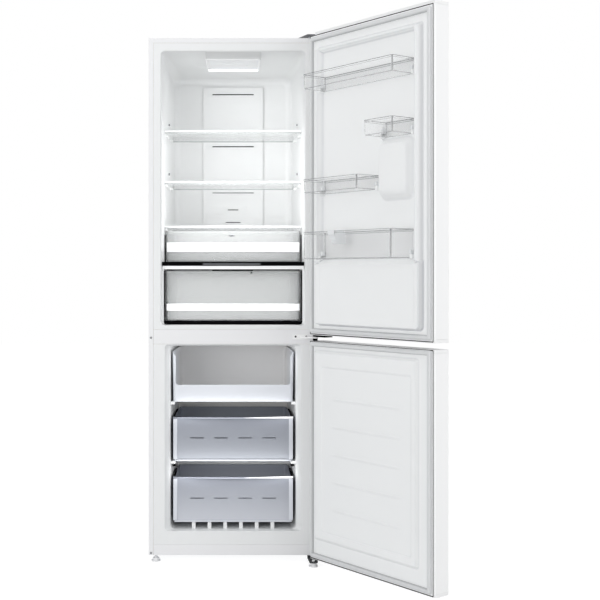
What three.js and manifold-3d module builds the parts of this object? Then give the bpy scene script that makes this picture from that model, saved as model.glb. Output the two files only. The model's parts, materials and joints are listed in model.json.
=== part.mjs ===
// Bottom freezer refrigerator, 595 mm wide and 1.85 m tall, with both doors standing open.
// Millimetres. X runs across the cabinet, Y from its front to its back, and Z up from the floor.
// Each piece is drawn with its door shut, and the door groups then swing about the hinge line.
import * as THREE from "three";
import { mergeVertices } from "three/addons/utils/BufferGeometryUtils.js";
import Module from "manifold-3d";

const wasm = await Module();
wasm.setup();

// ---- Driving dimensions ----

// Clearances
const fit = 0.3; // between pieces that touch
const running = 0.4; // round a pin in its bush
const slack = 2; // at each end of a loose shelf
const sheet = 1; // thickness of steel sheet
const linerWall = 2.5; // thickness of formed plastic
const tubWall = 2; // thickness of drawers and bins

// Cabinet
const cabinetWidth = 595;
const cabinetDepth = 560;
const cabinetTop = 1847;
const cabinetBottom = 26;
const returnWidth = 17; // the wrapper's folded front edge
const plateFace = 3; // depth of the flanges behind the cabinet's front plane
const backInset = 4; // of the back panel, which its ribs fill
const railTop = cabinetBottom + 38; // top of the base rail
const beamBottom = 770; // of the cross beam between the two compartments
const beamTop = beamBottom + 51;

// Fridge compartment
const fridgeMouth = cabinetWidth - 87; // width at the front
const fridgeBack = fridgeMouth - 52; // width at the back
const fridgeDepth = cabinetDepth - 115;
const fridgeFloor = beamTop + 15.5;
const fridgeCeiling = cabinetTop - 46.5;
const ceilingFall = 19.5; // the ceiling drops this much towards the back
const lipDepth = 10; // of the rounded edge round the mouth
const lipFlare = 2.5;

// Compressor space
const nicheFront = cabinetDepth - 208;
const nicheTop = cabinetBottom + 239;
const trayLevel = cabinetBottom - 2;
const rollerRadius = 14;
const rollerWidth = 16;
const rollerAxle = 3;
const rollerX = cabinetWidth / 2 - 61.5;
const rollerY = cabinetDepth - 32;

// Freezer compartment
const freezerMouth = cabinetWidth - 115;
const freezerFront = freezerMouth - 36; // width behind the flared mouth
const freezerBack = freezerFront - 28;
const freezerDepth = fridgeDepth - 15;
const freezerFlare = 28; // depth of the flared mouth
const freezerFloor = railTop + 48;
const freezerCeiling = beamBottom - 8;
const stepDepth = nicheFront - 50; // of the freezer below the step over the compressor
const stepHeight = nicheTop + 45;
const floorRibTop = freezerFloor + 23.7;
const floorRibWidth = 16;
const floorRibPitch = 56;
const floorRibCount = 6;

// Feet
const footRadius = 16;
const footStem = 5;
const footPad = 13; // height of the disc and the hexagon on it
const footDisc = 5;
const leftFoot = { x: -cabinetWidth / 2 + 24.5, y: 26 };
const rightFoot = { x: cabinetWidth / 2 - 18.5, y: -52 };
const leftStemTop = cabinetBottom + 24;

// Doors, shut
const doorThickness = 62;
const gasketGap = 10; // between the door's inner face and the cabinet
const doorReturn = 8; // the skin's folded inner edge
const doorCorner = 5;
const capPlate = 11;
const capTongue = 14;
const doorRise = 9; // of the upper door over the cabinet's top
const upperDoor = {
  name: "upper_door",
  bottom: beamBottom + 34,
  top: cabinetTop + doorRise,
  sealLow: 8,
  sealHigh: doorRise + 8,
};
const lowerDoor = {
  name: "lower_door",
  bottom: cabinetBottom - 2,
  top: beamBottom + 13,
  sealLow: 8,
  sealHigh: 2,
};
const gasketInset = { hinge: 6, free: 14 }; // from the upright edges; sealLow and sealHigh are from the ends
const gasketWidth = 16;
const gasketBulb = 11;
const gripLength = 230;
const gripDepth = 17;

// Hinge line and hinges
const pivotInset = 10; // from the cabinet's side
const pivotSetback = 17; // from the door's inner face into the door
const doorOpen = 126; // degrees, as it stands
const pinRadius = 4;
const pinReach = 16; // into the door's cap
const hingePlate = 3;
const armThickness = 5;

// Shelves and covers
const binDepth = 100; // from the door's inner face
const binClear = 8; // between the door's bins and the shelves behind them
const shelfFront = binDepth - gasketGap + binClear;
const shelfBack = fridgeDepth - 93;
const glass = 4;
const coverFront = 22;
const coverBack = fridgeDepth - 25;
const coverTop = fridgeFloor + 208.5;
const coverLip = 12;
// Undersides of the three glass plates: the lowest, and two at a share of the height over it
const lowestShelf = coverTop + 137;
const overLowest = (share) => lowestShelf + share * (fridgeCeiling - lowestShelf);
const shelfLevels = [overLowest(0.5562), overLowest(0.2603), lowestShelf];
const shelfTrimDepth = 11;

// Drawers: front and back in Y, bottom and top in Z, and gap to the wall beside them
const drawerClear = 10; // between a drawer and what is over it
const chillDrawer = {
  front: shelfFront,
  back: shelfBack - 17,
  bottom: coverTop + 15,
  top: shelfLevels[2] - drawerClear,
  gap: 10,
};
const crisperDrawer = {
  front: 30,
  back: shelfBack - 17,
  bottom: fridgeFloor + 14.1,
  top: coverTop - coverLip - 6,
  gap: 12,
};
const drawerFront = freezerFlare;
const lowerDrawer = {
  front: drawerFront,
  back: stepDepth - 14,
  bottom: floorRibTop + fit,
  top: floorRibTop + 160.3,
  gap: 8,
};
const upperDrawer = {
  front: drawerFront,
  back: freezerDepth - 85,
  bottom: lowerDrawer.top + 56,
  top: lowerDrawer.top + 212,
  gap: 8,
};
const freezerBasket = {
  front: drawerFront,
  back: freezerDepth - 75,
  bottom: upperDrawer.top + 55,
  top: freezerCeiling - 22,
  gap: 6,
};

// Door bins: distance from the hinge edge (from, to), bottom and top in Z
const binCorner = 15;
const binInset = 84; // from either edge of the door
const binFar = cabinetWidth - binInset;
const doorHeight = upperDoor.top - upperDoor.bottom;
// A bin at a share of the door's height
const bin = (name, from, to, share, height) => {
  const bottom = upperDoor.bottom + share * doorHeight;
  return { name, from, to, bottom, top: bottom + height };
};
const topBin = bin("top_bin", binInset, binFar, 0.7947, 50);
const eggBin = bin("egg_bin", binFar - 0.3 * (binFar - binInset), binFar, 0.6169, 49);
const jarBin = bin("jar_bin", binInset, binFar - 0.377 * (binFar - binInset), 0.461, 46);
const bottleBin = bin("bottle_bin", binInset, binFar - 6, 0.2491, 91);
const bins = [topBin, eggBin, jarBin, bottleBin];
const holderPlace = bottleBin.from + 144; // of the bottle holder, from the hinge edge

// ---- Solids ----

// A geometry as a closed solid that can be joined and cut.
function solid(geometry) {
  const bare = geometry.clone();
  bare.deleteAttribute("normal");
  bare.deleteAttribute("uv");
  const merged = mergeVertices(bare, 1e-4);
  const triVerts = new Uint32Array(merged.index.array);
  const vertProperties = new Float32Array(merged.attributes.position.array);
  const made = new wasm.Manifold(new wasm.Mesh({ numProp: 3, vertProperties, triVerts }));
  if (made.volume() >= 0) return made;
  for (let i = 0; i < triVerts.length; i += 3) triVerts.subarray(i, i + 3).reverse();
  return new wasm.Manifold(new wasm.Mesh({ numProp: 3, vertProperties, triVerts }));
}

const join = (first, ...others) => others.reduce((whole, other) => whole.add(other), first);
const cut = (first, ...tools) => tools.reduce((rest, tool) => rest.subtract(tool), first);

function box(x0, x1, y0, y1, z0, z1) {
  const shape = new THREE.BoxGeometry(x1 - x0, y1 - y0, z1 - z0);
  return solid(shape.translate((x0 + x1) / 2, (y0 + y1) / 2, (z0 + z1) / 2));
}

// A solid through rings of points, each ring convex and with as many points as the next.
function loft(rings) {
  const count = rings[0].length;
  const faces = [];
  for (let start = 0; start < (rings.length - 1) * count; start += count)
    for (let i = 0; i < count; i++) {
      const here = start + i;
      const next = start + ((i + 1) % count);
      faces.push(here, next, next + count, here, next + count, here + count);
    }
  const last = (rings.length - 1) * count;
  for (let i = 1; i < count - 1; i++) faces.push(0, i + 1, i, last, last + i, last + i + 1);
  const geometry = new THREE.BufferGeometry();
  geometry.setAttribute("position", new THREE.Float32BufferAttribute(rings.flat(2), 3));
  geometry.setIndex(faces);
  return solid(geometry);
}

// A rounded rectangle as [u, v] pairs. The radii start at the low u, low v corner and go round.
function roundedRect(u0, u1, v0, v1, radii, steps = 3) {
  const widest = 0.45 * Math.min(u1 - u0, v1 - v0);
  const all = Array.isArray(radii) ? radii : [radii, radii, radii, radii];
  const [a, b, c, d] = all.map((radius) => Math.min(radius, widest));
  const corners = [
    [u0 + a, v0 + a, a, 180],
    [u1 - b, v0 + b, b, 270],
    [u1 - c, v1 - c, c, 0],
    [u0 + d, v1 - d, d, 90],
  ];
  return corners.flatMap(([u, v, radius, start]) =>
    Array.from({ length: steps + 1 }, (_, i) => {
      const angle = THREE.MathUtils.degToRad(start + (90 * i) / steps);
      return [u + radius * Math.cos(angle), v + radius * Math.sin(angle)];
    }),
  );
}

// An outline of [u, v] pairs pulled along one axis: along X it lies in YZ, along Y in XZ, along Z in XY.
function prism(axis, outline, from, to) {
  const shape = new THREE.Shape(outline.map(([u, v]) => new THREE.Vector2(u, v)));
  const body = new THREE.ExtrudeGeometry(shape, { depth: to - from, bevelEnabled: false });
  const x = new THREE.Vector3(1, 0, 0);
  const y = new THREE.Vector3(0, 1, 0);
  const z = new THREE.Vector3(0, 0, 1);
  const turn = new THREE.Matrix4();
  if (axis === "x") turn.makeBasis(y, z, x);
  if (axis === "y") turn.makeBasis(x, z, y.clone().negate());
  body.applyMatrix4(turn);
  if (axis === "x") body.translate(from, 0, 0);
  if (axis === "y") body.translate(0, to, 0);
  if (axis === "z") body.translate(0, 0, from);
  return solid(body);
}

// A round bar along one axis, centred on u, v in the plane across it.
function rod(axis, u, v, radius, from, to, sides = 20) {
  const circle = Array.from({ length: sides }, (_, i) => {
    const angle = (2 * Math.PI * i) / sides;
    return [u + radius * Math.cos(angle), v + radius * Math.sin(angle)];
  });
  return prism(axis, circle, from, to);
}

const mirrored = (outline) => [...outline, ...outline.map(([x, y]) => [-x, y]).reverse()];

// ---- Materials ----

function paint(color, roughness, metalness = 0, opacity = 1) {
  return new THREE.MeshStandardMaterial({
    color,
    roughness,
    metalness,
    opacity,
    transparent: opacity < 1,
  });
}

const white = paint(0xf4f4f3, 0.35);
const linerWhite = paint(0xeceeee, 0.45);
const trimWhite = paint(0xfbfbfb, 0.4);
const seal = paint(0xdedfdf, 0.8);
const foamYellow = paint(0xe6d6a6, 0.9);
const black = paint(0x101113, 0.5);
const darkGrey = paint(0x4a4c50, 0.5);
const steel = paint(0xb9bcc0, 0.4, 1);
const clear = paint(0xe9eef2, 0.15, 0, 0.35);
const frosted = paint(0xc9d3de, 0.3, 0, 0.6);
const glassClear = paint(0xdfeae8, 0.05, 0, 0.3);
const lampWhite = paint(0xffffff, 0.3);

// ---- Assembly ----

const fridge = new THREE.Group();

function place(name, body, material, parent = fridge) {
  const { numProp, vertProperties, triVerts } = body.getMesh();
  const geometry = new THREE.BufferGeometry();
  const points = new THREE.InterleavedBuffer(vertProperties, numProp);
  geometry.setAttribute("position", new THREE.InterleavedBufferAttribute(points, 3, 0));
  geometry.setIndex(new THREE.BufferAttribute(triVerts, 1));
  const flat = geometry.toNonIndexed();
  flat.computeVertexNormals();
  const mesh = new THREE.Mesh(flat, material);
  mesh.name = name;
  parent.add(mesh);
  return mesh;
}

// ---- Inner shape of the two compartments ----

const cabinetHalf = cabinetWidth / 2;
const flangeHalf = cabinetHalf - returnWidth - fit;

const fridgeHalf = (y) => (fridgeMouth + ((fridgeBack - fridgeMouth) * y) / fridgeDepth) / 2;
const ceilingAt = (y) => fridgeCeiling - (ceilingFall * y) / fridgeDepth;
const freezerHalf = (y) =>
  (freezerFront + ((freezerBack - freezerFront) * (y - freezerFlare)) / (freezerDepth - freezerFlare)) / 2;

// Rings of a cavity, from its mouth to its back, each with its depth, half width, floor, ceiling and corner.
const fridgeRings = [
  {
    y: fit,
    half: fridgeHalf(0) + lipFlare,
    low: fridgeFloor - lipFlare,
    high: fridgeCeiling + lipFlare,
    corner: 10,
  },
  { y: lipDepth, half: fridgeHalf(lipDepth), low: fridgeFloor, high: ceilingAt(lipDepth), corner: 14 },
  { y: fridgeDepth, half: fridgeBack / 2, low: fridgeFloor, high: ceilingAt(fridgeDepth), corner: 30 },
];
const freezerCorner = 16;
const freezerRing = (y, low) => ({
  y,
  half: freezerHalf(y),
  low,
  high: freezerCeiling,
  corner: freezerCorner,
});
const freezerTop = [
  { y: fit, half: freezerMouth / 2, low: freezerFloor - 1, high: freezerCeiling + 5, corner: 8 },
  freezerRing(freezerFlare, freezerFloor),
  freezerRing(stepDepth, freezerFloor),
];
const freezerRear = [freezerRing(freezerFlare, stepHeight), freezerRing(freezerDepth, stepHeight)];

// The cavity as a solid, grown outwards by `grow` and reaching `ahead` in front of its mouth.
function cavity(rings, grow, ahead) {
  const first = rings[0];
  const last = rings[rings.length - 1];
  const lead = ahead > 0 ? [{ ...first, y: first.y - ahead }] : [];
  const levels = [...lead, ...rings.slice(0, -1), { ...last, y: last.y + grow }];
  return loft(
    levels.map(({ y, half, low, high, corner }) => {
      const outline = roundedRect(-half - grow, half + grow, low - grow, high + grow, corner + grow, 5);
      return outline.map(([x, z]) => [x, y, z]);
    }),
  );
}

// A formed liner: a front flange and a pocket behind it for each set of rings.
function liner(flangeBottom, flangeTop, pockets) {
  const flange = box(-flangeHalf, flangeHalf, fit, plateFace, flangeBottom, flangeTop);
  const outer = pockets.map((rings) => cavity(rings, linerWall, 0));
  const inner = pockets.map((rings) => cavity(rings, 0, rings[0].y < plateFace ? 1 : 0));
  return cut(join(flange, ...outer), ...inner);
}

// A boss on a compartment's side wall, from y0 to y1, standing out by `reach`.
function wallBoss(halfAt, side, y0, y1, z0, z1, reach) {
  const outline = [
    [side * (halfAt(y0) + 1), y0],
    [side * (halfAt(y1) + 1), y1],
    [side * (halfAt(y1) - reach), y1],
    [side * (halfAt(y0) - reach), y0],
  ];
  return prism("z", outline, z0, z1);
}

const bothSides = (make) => [-1, 1].map(make);

// ---- Cabinet ----

function cabinetWrapper() {
  const inside = cabinetHalf - sheet;
  const front = cabinetHalf - returnWidth;
  return cut(
    box(-cabinetHalf, cabinetHalf, 0, cabinetDepth, cabinetBottom, cabinetTop),
    box(-inside, inside, sheet, cabinetDepth + 1, cabinetBottom - 1, cabinetTop - sheet),
    box(-front, front, -1, sheet + 1, cabinetBottom - 1, cabinetTop - returnWidth),
  );
}

function backPanel() {
  const half = cabinetHalf - sheet - fit;
  const face = cabinetDepth - backInset;
  const bottom = nicheTop + 2 * fit;
  const top = cabinetTop - sheet - fit;
  const ribs = [-180, -60, 60, 180].map((x) => {
    const wide = roundedRect(x - 14, x + 14, bottom + 60, top - 60, 10);
    const narrow = roundedRect(x - 9, x + 9, bottom + 65, top - 65, 6);
    return loft([
      wide.map(([u, v]) => [u, face + sheet / 2, v]),
      wide.map(([u, v]) => [u, face + sheet, v]),
      narrow.map(([u, v]) => [u, cabinetDepth, v]),
    ]);
  });
  return join(box(-half, half, face, face + sheet, bottom, top), ...ribs);
}

function insulationFoam() {
  const half = cabinetHalf - sheet - fit;
  const floor = cabinetBottom + sheet + fit;
  const back = cabinetDepth - backInset - fit;
  const block = box(-half, half, plateFace + fit, back, floor, cabinetTop - sheet - fit);
  const hollow = linerWall + fit;
  return cut(
    block,
    box(-half - 1, half + 1, nicheFront - sheet - fit, back + 1, floor - 1, nicheTop + sheet + fit),
    cavity(fridgeRings, hollow, 1),
    cavity(freezerTop, hollow, 1),
    cavity(freezerRear, hollow, 0),
    rod("z", leftFoot.x, leftFoot.y, footStem + 3, floor - 1, leftStemTop + 5, 12),
  );
}

function fridgeLiner() {
  const bosses = bothSides((side) => [
    ...shelfLevels.flatMap((z) => [
      wallBoss(fridgeHalf, side, shelfFront + 52, shelfFront + 92, z - fit - 10, z - fit, 7),
      wallBoss(fridgeHalf, side, shelfBack - 62, shelfBack - 22, z - fit - 10, z - fit, 7),
    ]),
    wallBoss(fridgeHalf, side, 40, coverBack - 20, coverTop - coverLip - fit, coverTop - glass - fit, 8),
    wallBoss(fridgeHalf, side, 230, 252, shelfLevels[0] + 42, shelfLevels[0] + 50, 6),
    wallBoss(fridgeHalf, side, 230, 252, shelfLevels[1] + 42, shelfLevels[1] + 50, 6),
  ]).flat();
  const flangeTop = cabinetTop - returnWidth - fit;
  return join(liner(beamTop + fit, flangeTop, [fridgeRings]), ...bosses);
}

function freezerLiner() {
  const firstRib = (-(floorRibCount - 1) * floorRibPitch) / 2;
  const ribs = Array.from({ length: floorRibCount }, (_, i) => {
    const x = firstRib + i * floorRibPitch;
    const half = floorRibWidth / 2;
    return box(x - half, x + half, 12, stepDepth - 10, freezerFloor - 1, floorRibTop);
  });
  const ledge = (side, { back, bottom }, reach) =>
    wallBoss(freezerHalf, side, drawerFront + 12, back - 5, bottom - fit - 11, bottom - fit, reach);
  const ledges = bothSides((side) => [
    ledge(side, upperDrawer, upperDrawer.gap + 8),
    ledge(side, freezerBasket, freezerBasket.gap + 8),
  ]).flat();
  const shell = liner(railTop + fit, beamBottom - fit, [freezerTop, freezerRear]);
  return join(shell, ...ribs, ...ledges);
}

const frontPlate = (bottom, top) => box(-flangeHalf, flangeHalf, fit, plateFace, bottom, top);

function floorPan() {
  const front = plateFace + fit;
  const back = cabinetDepth - backInset - fit;
  const outline = [
    [front, cabinetBottom],
    [nicheFront, cabinetBottom],
    [nicheFront, nicheTop],
    [back, nicheTop],
    [back, nicheTop + sheet - fit],
    [nicheFront - sheet, nicheTop + sheet - fit],
    [nicheFront - sheet, cabinetBottom + sheet],
    [front, cabinetBottom + sheet],
  ];
  const half = cabinetHalf - sheet - fit;
  const hole = rod("z", leftFoot.x, leftFoot.y, footStem + running, 0, leftStemTop);
  return cut(prism("x", outline, -half, half), hole);
}

// A plate across the bottom at the back, with a pair of ears and an axle for each roller.
function compressorTray() {
  const half = cabinetHalf - sheet - fit;
  const thickness = 2;
  const front = nicheFront + fit;
  const back = cabinetDepth - 12;
  const rim = 10;
  const plate = box(-half, half, front, back, trayLevel, trayLevel + thickness);
  const edge = box(-half, half, front, front + thickness, trayLevel, trayLevel + rim);
  const brackets = bothSides((side) => {
    const ears = bothSides((end) => {
      const x = side * rollerX + end * (rollerWidth / 2 + 3);
      const outline = [
        [rollerY - 16, trayLevel + 1],
        [rollerY - 8, rollerRadius - 7],
        [rollerY + 8, rollerRadius - 7],
        [rollerY + 16, trayLevel + 1],
      ];
      return prism("x", outline, x - 1, x + 1);
    });
    const [left, right] = bothSides((end) => side * rollerX + end * (rollerWidth / 2 + 3));
    return [...ears, rod("x", rollerY, rollerRadius, rollerAxle, left, right, 12)];
  }).flat();
  const openings = bothSides((side) => {
    const x = side * rollerX;
    const beside = rollerWidth / 2 + 1;
    return box(x - beside, x + beside, rollerY - 17, rollerY + 17, trayLevel - 1, trayLevel + 3);
  });
  return join(cut(join(plate, edge), ...openings), ...brackets);
}

function roller(side) {
  const x = side * rollerX;
  const wheel = rod("x", rollerY, rollerRadius, rollerRadius, x - rollerWidth / 2, x + rollerWidth / 2, 20);
  const bore = rod("x", rollerY, rollerRadius, rollerAxle + running, x - rollerWidth, x + rollerWidth, 16);
  return cut(wheel, bore);
}

const compressorX = cabinetWidth / 2 - 187.5;
const compressorY = cabinetDepth - 108;
const compressorRadius = 72;
const compressorBase = trayLevel + 2 + fit;

// A welded steel pot on a foot plate with four rubber blocks, with its terminal box on one side.
function compressor() {
  const profile = [
    [0, 10],
    [46, 10],
    [66, 26],
    [compressorRadius, 52],
    [compressorRadius, 78],
    [compressorRadius + 3, 80],
    [compressorRadius + 3, 86],
    [compressorRadius - 2, 88],
    [compressorRadius - 4, 122],
    [50, 148],
    [20, 157],
    [0, 158],
  ].map(([r, z]) => new THREE.Vector2(r, z));
  const pot = new THREE.LatheGeometry(profile, 20).rotateX(Math.PI / 2);
  const body = solid(pot).translate([compressorX, compressorY, compressorBase]);
  const top = compressorBase + 14;
  const plate = box(compressorX - 88, compressorX + 88, compressorY - 42, compressorY + 42, top - 4, top);
  const feet = bothSides((sideX) =>
    bothSides((sideY) => {
      const u = compressorX + sideX * 78;
      const v = compressorY + sideY * 32;
      return rod("z", u, v, 9, compressorBase, top - 1, 10);
    }),
  ).flat();
  const terminal = box(compressorX - 112, compressorX - 60, compressorY - 30, compressorY + 30, 66, 128);
  const stub = rod("z", compressorX + 30, compressorY - 20, 4, compressorBase + 140, compressorBase + 172, 8);
  return join(body, plate, ...feet, terminal, stub);
}

// A shallow tub on the compressor, where melt water dries off.
function dripTray() {
  const bottom = compressorBase + 158 + fit;
  const middleX = compressorX - 6;
  const middleY = compressorY - 2;
  const ring = (halfX, halfY, corner, z) =>
    roundedRect(middleX - halfX, middleX + halfX, middleY - halfY, middleY + halfY, corner).map(
      ([x, y]) => [x, y, z],
    );
  const outer = [ring(76, 70, 14, bottom), ring(80, 74, 16, bottom + 34)];
  const inner = [ring(74, 68, 12, bottom + 2), ring(78, 72, 14, bottom + 35)];
  const pipeHole = rod("z", compressorX + 30, compressorY - 20, 6, bottom - 1, bottom + 3, 10);
  return cut(loft(outer), loft(inner), pipeHole);
}

// The cover of the compressor space, with rows of air slots.
function compressorCover() {
  const half = cabinetHalf - sheet - fit;
  const face = cabinetDepth - backInset;
  const plate = box(-half, half, face, face + 2, trayLevel + 8, nicheTop - fit);
  const slots = [70, 100, 130, 160, 190, 220].flatMap((z) =>
    [-210, -126, -42, 42, 126, 210].map((x) => box(x - 32, x + 32, face - 1, face + 3, z - 3, z + 3)),
  );
  return cut(plate, ...slots);
}

// ---- Cold air: evaporator, fan, freezer back panel and air duct ----

const panelFace = freezerDepth - 58;
const panelWall = 3;
const fanRadius = 50;
const fanShaft = 2.5;
const fanY = panelFace + 20;
const fanZ = freezerCeiling - 107;
const outletTop = freezerCeiling - 16;

function freezerBackPanel() {
  const half = freezerHalf(panelFace + panelWall) - fit;
  const outline = roundedRect(-half, half, stepHeight + fit, freezerCeiling - fit, freezerCorner - fit);
  const plate = prism("y", outline, panelFace, panelFace + panelWall);
  const opening = (x, reach, bottom, height) =>
    box(x - reach, x + reach, panelFace - 1, panelFace + panelWall + 1, bottom, bottom + height);
  const outlet = opening(0, half - 30, outletTop - 9, 9);
  const returnAir = [-1.5, -0.5, 0.5, 1.5].map((step) =>
    opening(step * 0.38 * half, 0.13 * half, stepHeight + 14, 8),
  );
  const shroud = cut(
    rod("y", 0, fanZ, fanRadius + 9, panelFace + panelWall - 1, fanY + 12, 28),
    rod("y", 0, fanZ, fanRadius + 6, panelFace + panelWall, fanY + 13, 28),
  );
  const arm = box(-fanRadius - 8, fanRadius + 8, fanY + 10, fanY + 13, fanZ - 6, fanZ + 6);
  const bore = (from, to) => rod("y", 0, fanZ, fanShaft + running, from, to, 12);
  const motor = cut(rod("y", 0, fanZ, 19, fanY + 10, fanY + 30, 16), bore(fanY + 8, fanY + 24));
  const cleared = cut(join(shroud, arm), bore(fanY + 8, fanY + 14));
  return join(cut(plate, outlet, ...returnAir), cleared, motor);
}

// Five pitched blades on a hub, with the shaft that turns in the motor.
function evaporatorFan() {
  const hub = rod("y", 0, fanZ, 13, fanY - 8, fanY + 7, 16);
  const shaft = rod("y", 0, fanZ, fanShaft, fanY, fanY + 23, 10);
  const blades = [0, 1, 2, 3, 4].map((i) => {
    const blade = new THREE.BoxGeometry(24, 1.6, fanRadius - 10);
    blade.rotateZ(THREE.MathUtils.degToRad(28));
    blade.translate(0, 0, (fanRadius + 10) / 2);
    blade.rotateY((i * 2 * Math.PI) / 5);
    blade.translate(0, fanY, fanZ);
    return solid(blade);
  });
  return join(hub, shaft, ...blades);
}

// Upright fins against the liner's back wall, on one tube that runs across them in a zigzag.
function evaporatorCoil() {
  const front = freezerDepth - 44;
  const back = freezerDepth - fit;
  const middle = (front + back) / 2;
  const bottom = stepHeight + 24;
  const top = fanZ - fanRadius - 45;
  const rows = 5;
  const pitch = (top - bottom) / rows;
  const reach = freezerBack / 2 - 32;
  const tube = 5;
  const fins = Array.from({ length: 9 }, (_, i) => {
    const x = (i - 4) * 0.216 * reach;
    return box(x - 0.6, x + 0.6, front, back, bottom, top);
  });
  const runs = Array.from({ length: rows }, (_, i) =>
    rod("x", middle, bottom + (i + 0.5) * pitch, tube, -reach, reach, 8),
  );
  const bends = Array.from({ length: rows - 1 }, (_, i) => {
    const side = i % 2 ? -1 : 1;
    const low = bottom + (i + 0.5) * pitch - tube;
    const high = low + pitch + 2 * tube;
    return box(side * reach - tube, side * reach + tube, middle - tube, middle + tube, low, high);
  });
  return join(runs[0], ...runs.slice(1), ...bends, ...fins);
}

const ductFace = fridgeDepth - 12;
const ductHalf = 117;
const ductTop = fridgeCeiling - 54.5;

// A hollow panel down the middle of the back wall, with long outlets and small vents.
function airDuctPanel() {
  const bottom = fridgeFloor + 10;
  const back = fridgeDepth - fit;
  const outer = box(-ductHalf, ductHalf, ductFace, back, bottom, ductTop);
  const hollow = box(
    -ductHalf + linerWall,
    ductHalf - linerWall,
    ductFace + linerWall,
    back + 1,
    bottom + linerWall,
    ductTop - linerWall,
  );
  const outlet = (half, z, height) =>
    box(-half, half, ductFace - 1, ductFace + linerWall + 1, z - height / 2, z + height / 2);
  return cut(
    outer,
    hollow,
    outlet(81, ductTop - 29, 8),
    outlet(81, shelfLevels[0] - 13, 8),
    outlet(81, shelfLevels[1] - 11, 8),
    outlet(21, shelfLevels[1] - 77, 6),
    outlet(29, shelfLevels[2] + 35, 6),
  );
}

// ---- Lamp ----

const lampHalf = 98;
const lampFront = 47;
const lampBack = 236;
const lampBottom = fridgeCeiling - 20.5;
const diffuserBack = 258;

function lampHousing() {
  const outline = [
    [lampFront, ceilingAt(lampFront) - fit],
    [lampFront, lampBottom + 4],
    [lampFront + 6, lampBottom],
    [lampBack, lampBottom],
    [lampBack, ceilingAt(lampBack) - fit],
  ];
  const half = lampHalf - 6;
  const recess = box(-half, half, lampFront + 14, lampBack - 6, lampBottom - 1, lampBottom + 2);
  return cut(prism("x", outline, -lampHalf, lampHalf), recess);
}

function lampDiffuser() {
  const outline = [
    [lampBack + fit, ceilingAt(lampBack) - 1],
    [lampBack + fit, lampBottom - 5],
    [diffuserBack - 8, lampBottom - 5],
    [diffuserBack, lampBottom + 1],
    [diffuserBack, ceilingAt(diffuserBack) - fit],
  ];
  return prism("x", outline, -lampHalf + 5, lampHalf - 5);
}

// ---- Shelves, cover and runner frames ----

// A flat shape between y0 and y1 that follows the fridge's side walls at a gap.
function tapered(halfAt, gap, y0, y1, z0, z1) {
  const outline = mirrored([
    [halfAt(y0) - gap, y0],
    [halfAt(y1) - gap, y1],
  ]);
  return prism("z", outline, z0, z1);
}

function shelfGlass(level) {
  return tapered(fridgeHalf, slack, shelfFront, shelfBack, level, level + glass);
}

// A trim round a shelf's edge: `edge` is the glass edge and `inward` points onto the glass along Y.
function shelfTrim(level, edge, inward, above, below) {
  const outside = edge - inward * 3;
  const inside = outside + inward * shelfTrimDepth;
  const [y0, y1] = [Math.min(outside, inside), Math.max(outside, inside)];
  const slotEdge = edge - inward * fit;
  const [s0, s1] = inward > 0 ? [slotEdge, y1 + 1] : [y0 - 1, slotEdge];
  const body = tapered(fridgeHalf, slack, y0, y1, level - below, level + glass + above);
  const slot = box(-cabinetHalf, cabinetHalf, s0, s1, level - fit, level + glass + fit);
  return cut(body, slot);
}

function crisperCover() {
  const plate = tapered(fridgeHalf, slack, coverFront, coverBack, coverTop - glass, coverTop);
  const lip = tapered(fridgeHalf, slack, coverFront, coverFront + 7, coverTop - coverLip, coverTop);
  const ribs = [-120, 0, 120].map((x) =>
    box(x - 1.5, x + 1.5, coverFront + 3, coverBack - 20, coverTop - coverLip + 2, coverTop - 1),
  );
  return join(plate, lip, ...ribs);
}

// A U-shaped front with two runners behind it, which a drawer slides on.
function runnerFrame({ half, wall, corner, front, depth, back, runner, bottom, barTop, sideTop }) {
  const outer = roundedRect(-half, half, bottom, sideTop, [corner, corner, 1, 1]);
  const inner = roundedRect(-half + wall, half - wall, barTop, sideTop + 10, [3, 3, 1, 1]);
  const frame = cut(
    prism("y", outer, front, front + depth),
    prism("y", inner, front - 1, front + depth + 1),
  );
  const rails = bothSides((side) =>
    box(side * runner - 6, side * runner + 6, front + depth - 1, back, bottom + 3, barTop),
  );
  const rear = box(-runner, runner, back - 10, back, bottom + 3, barTop - 4);
  return join(frame, ...rails, rear);
}

const crisperFrame = {
  half: fridgeMouth / 2 - 6.5,
  wall: 3,
  corner: 12,
  front: 24,
  depth: 18,
  back: crisperDrawer.back - 5,
  runner: fridgeMouth / 2 - 54,
  bottom: fridgeFloor + fit,
  barTop: crisperDrawer.bottom - fit,
  sideTop: crisperDrawer.top - 9,
};
const chillFrame = {
  half: fridgeMouth / 2 - 8.5,
  wall: 4,
  corner: 2,
  front: chillDrawer.front + 2,
  depth: 16,
  back: chillDrawer.back - 5,
  runner: fridgeMouth / 2 - 64,
  bottom: coverTop + fit,
  barTop: chillDrawer.bottom - fit,
  sideTop: chillDrawer.top - 6,
};

// ---- Drawers ----

// An open box whose sides follow the walls beside it and draw in by `draft` towards its bottom.
function tub(halfAt, size, draft, corner = 12) {
  const { front, back, bottom, top, gap } = size;
  const ring = (z, inset) => {
    const half = halfAt(front) - gap - inset;
    const outline = roundedRect(-half, half, front + inset, back - inset, corner, 4);
    const scale = (y) => (halfAt(y) - gap - inset) / half;
    return outline.map(([x, y]) => [x * scale(y), y, z]);
  };
  const outer = loft([ring(bottom, draft), ring(top, 0)]);
  const inner = loft([ring(bottom + tubWall, draft + tubWall), ring(top + 1, tubWall)]);
  return cut(outer, inner);
}

// A band across the front of a drawer, standing out by `proud`.
function frontBand(halfAt, size, bottom, top, proud, draft) {
  const half = halfAt(size.front) - size.gap - 12;
  return box(-half, half, size.front - proud, size.front + draft + tubWall - 0.5, bottom, top);
}

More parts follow.
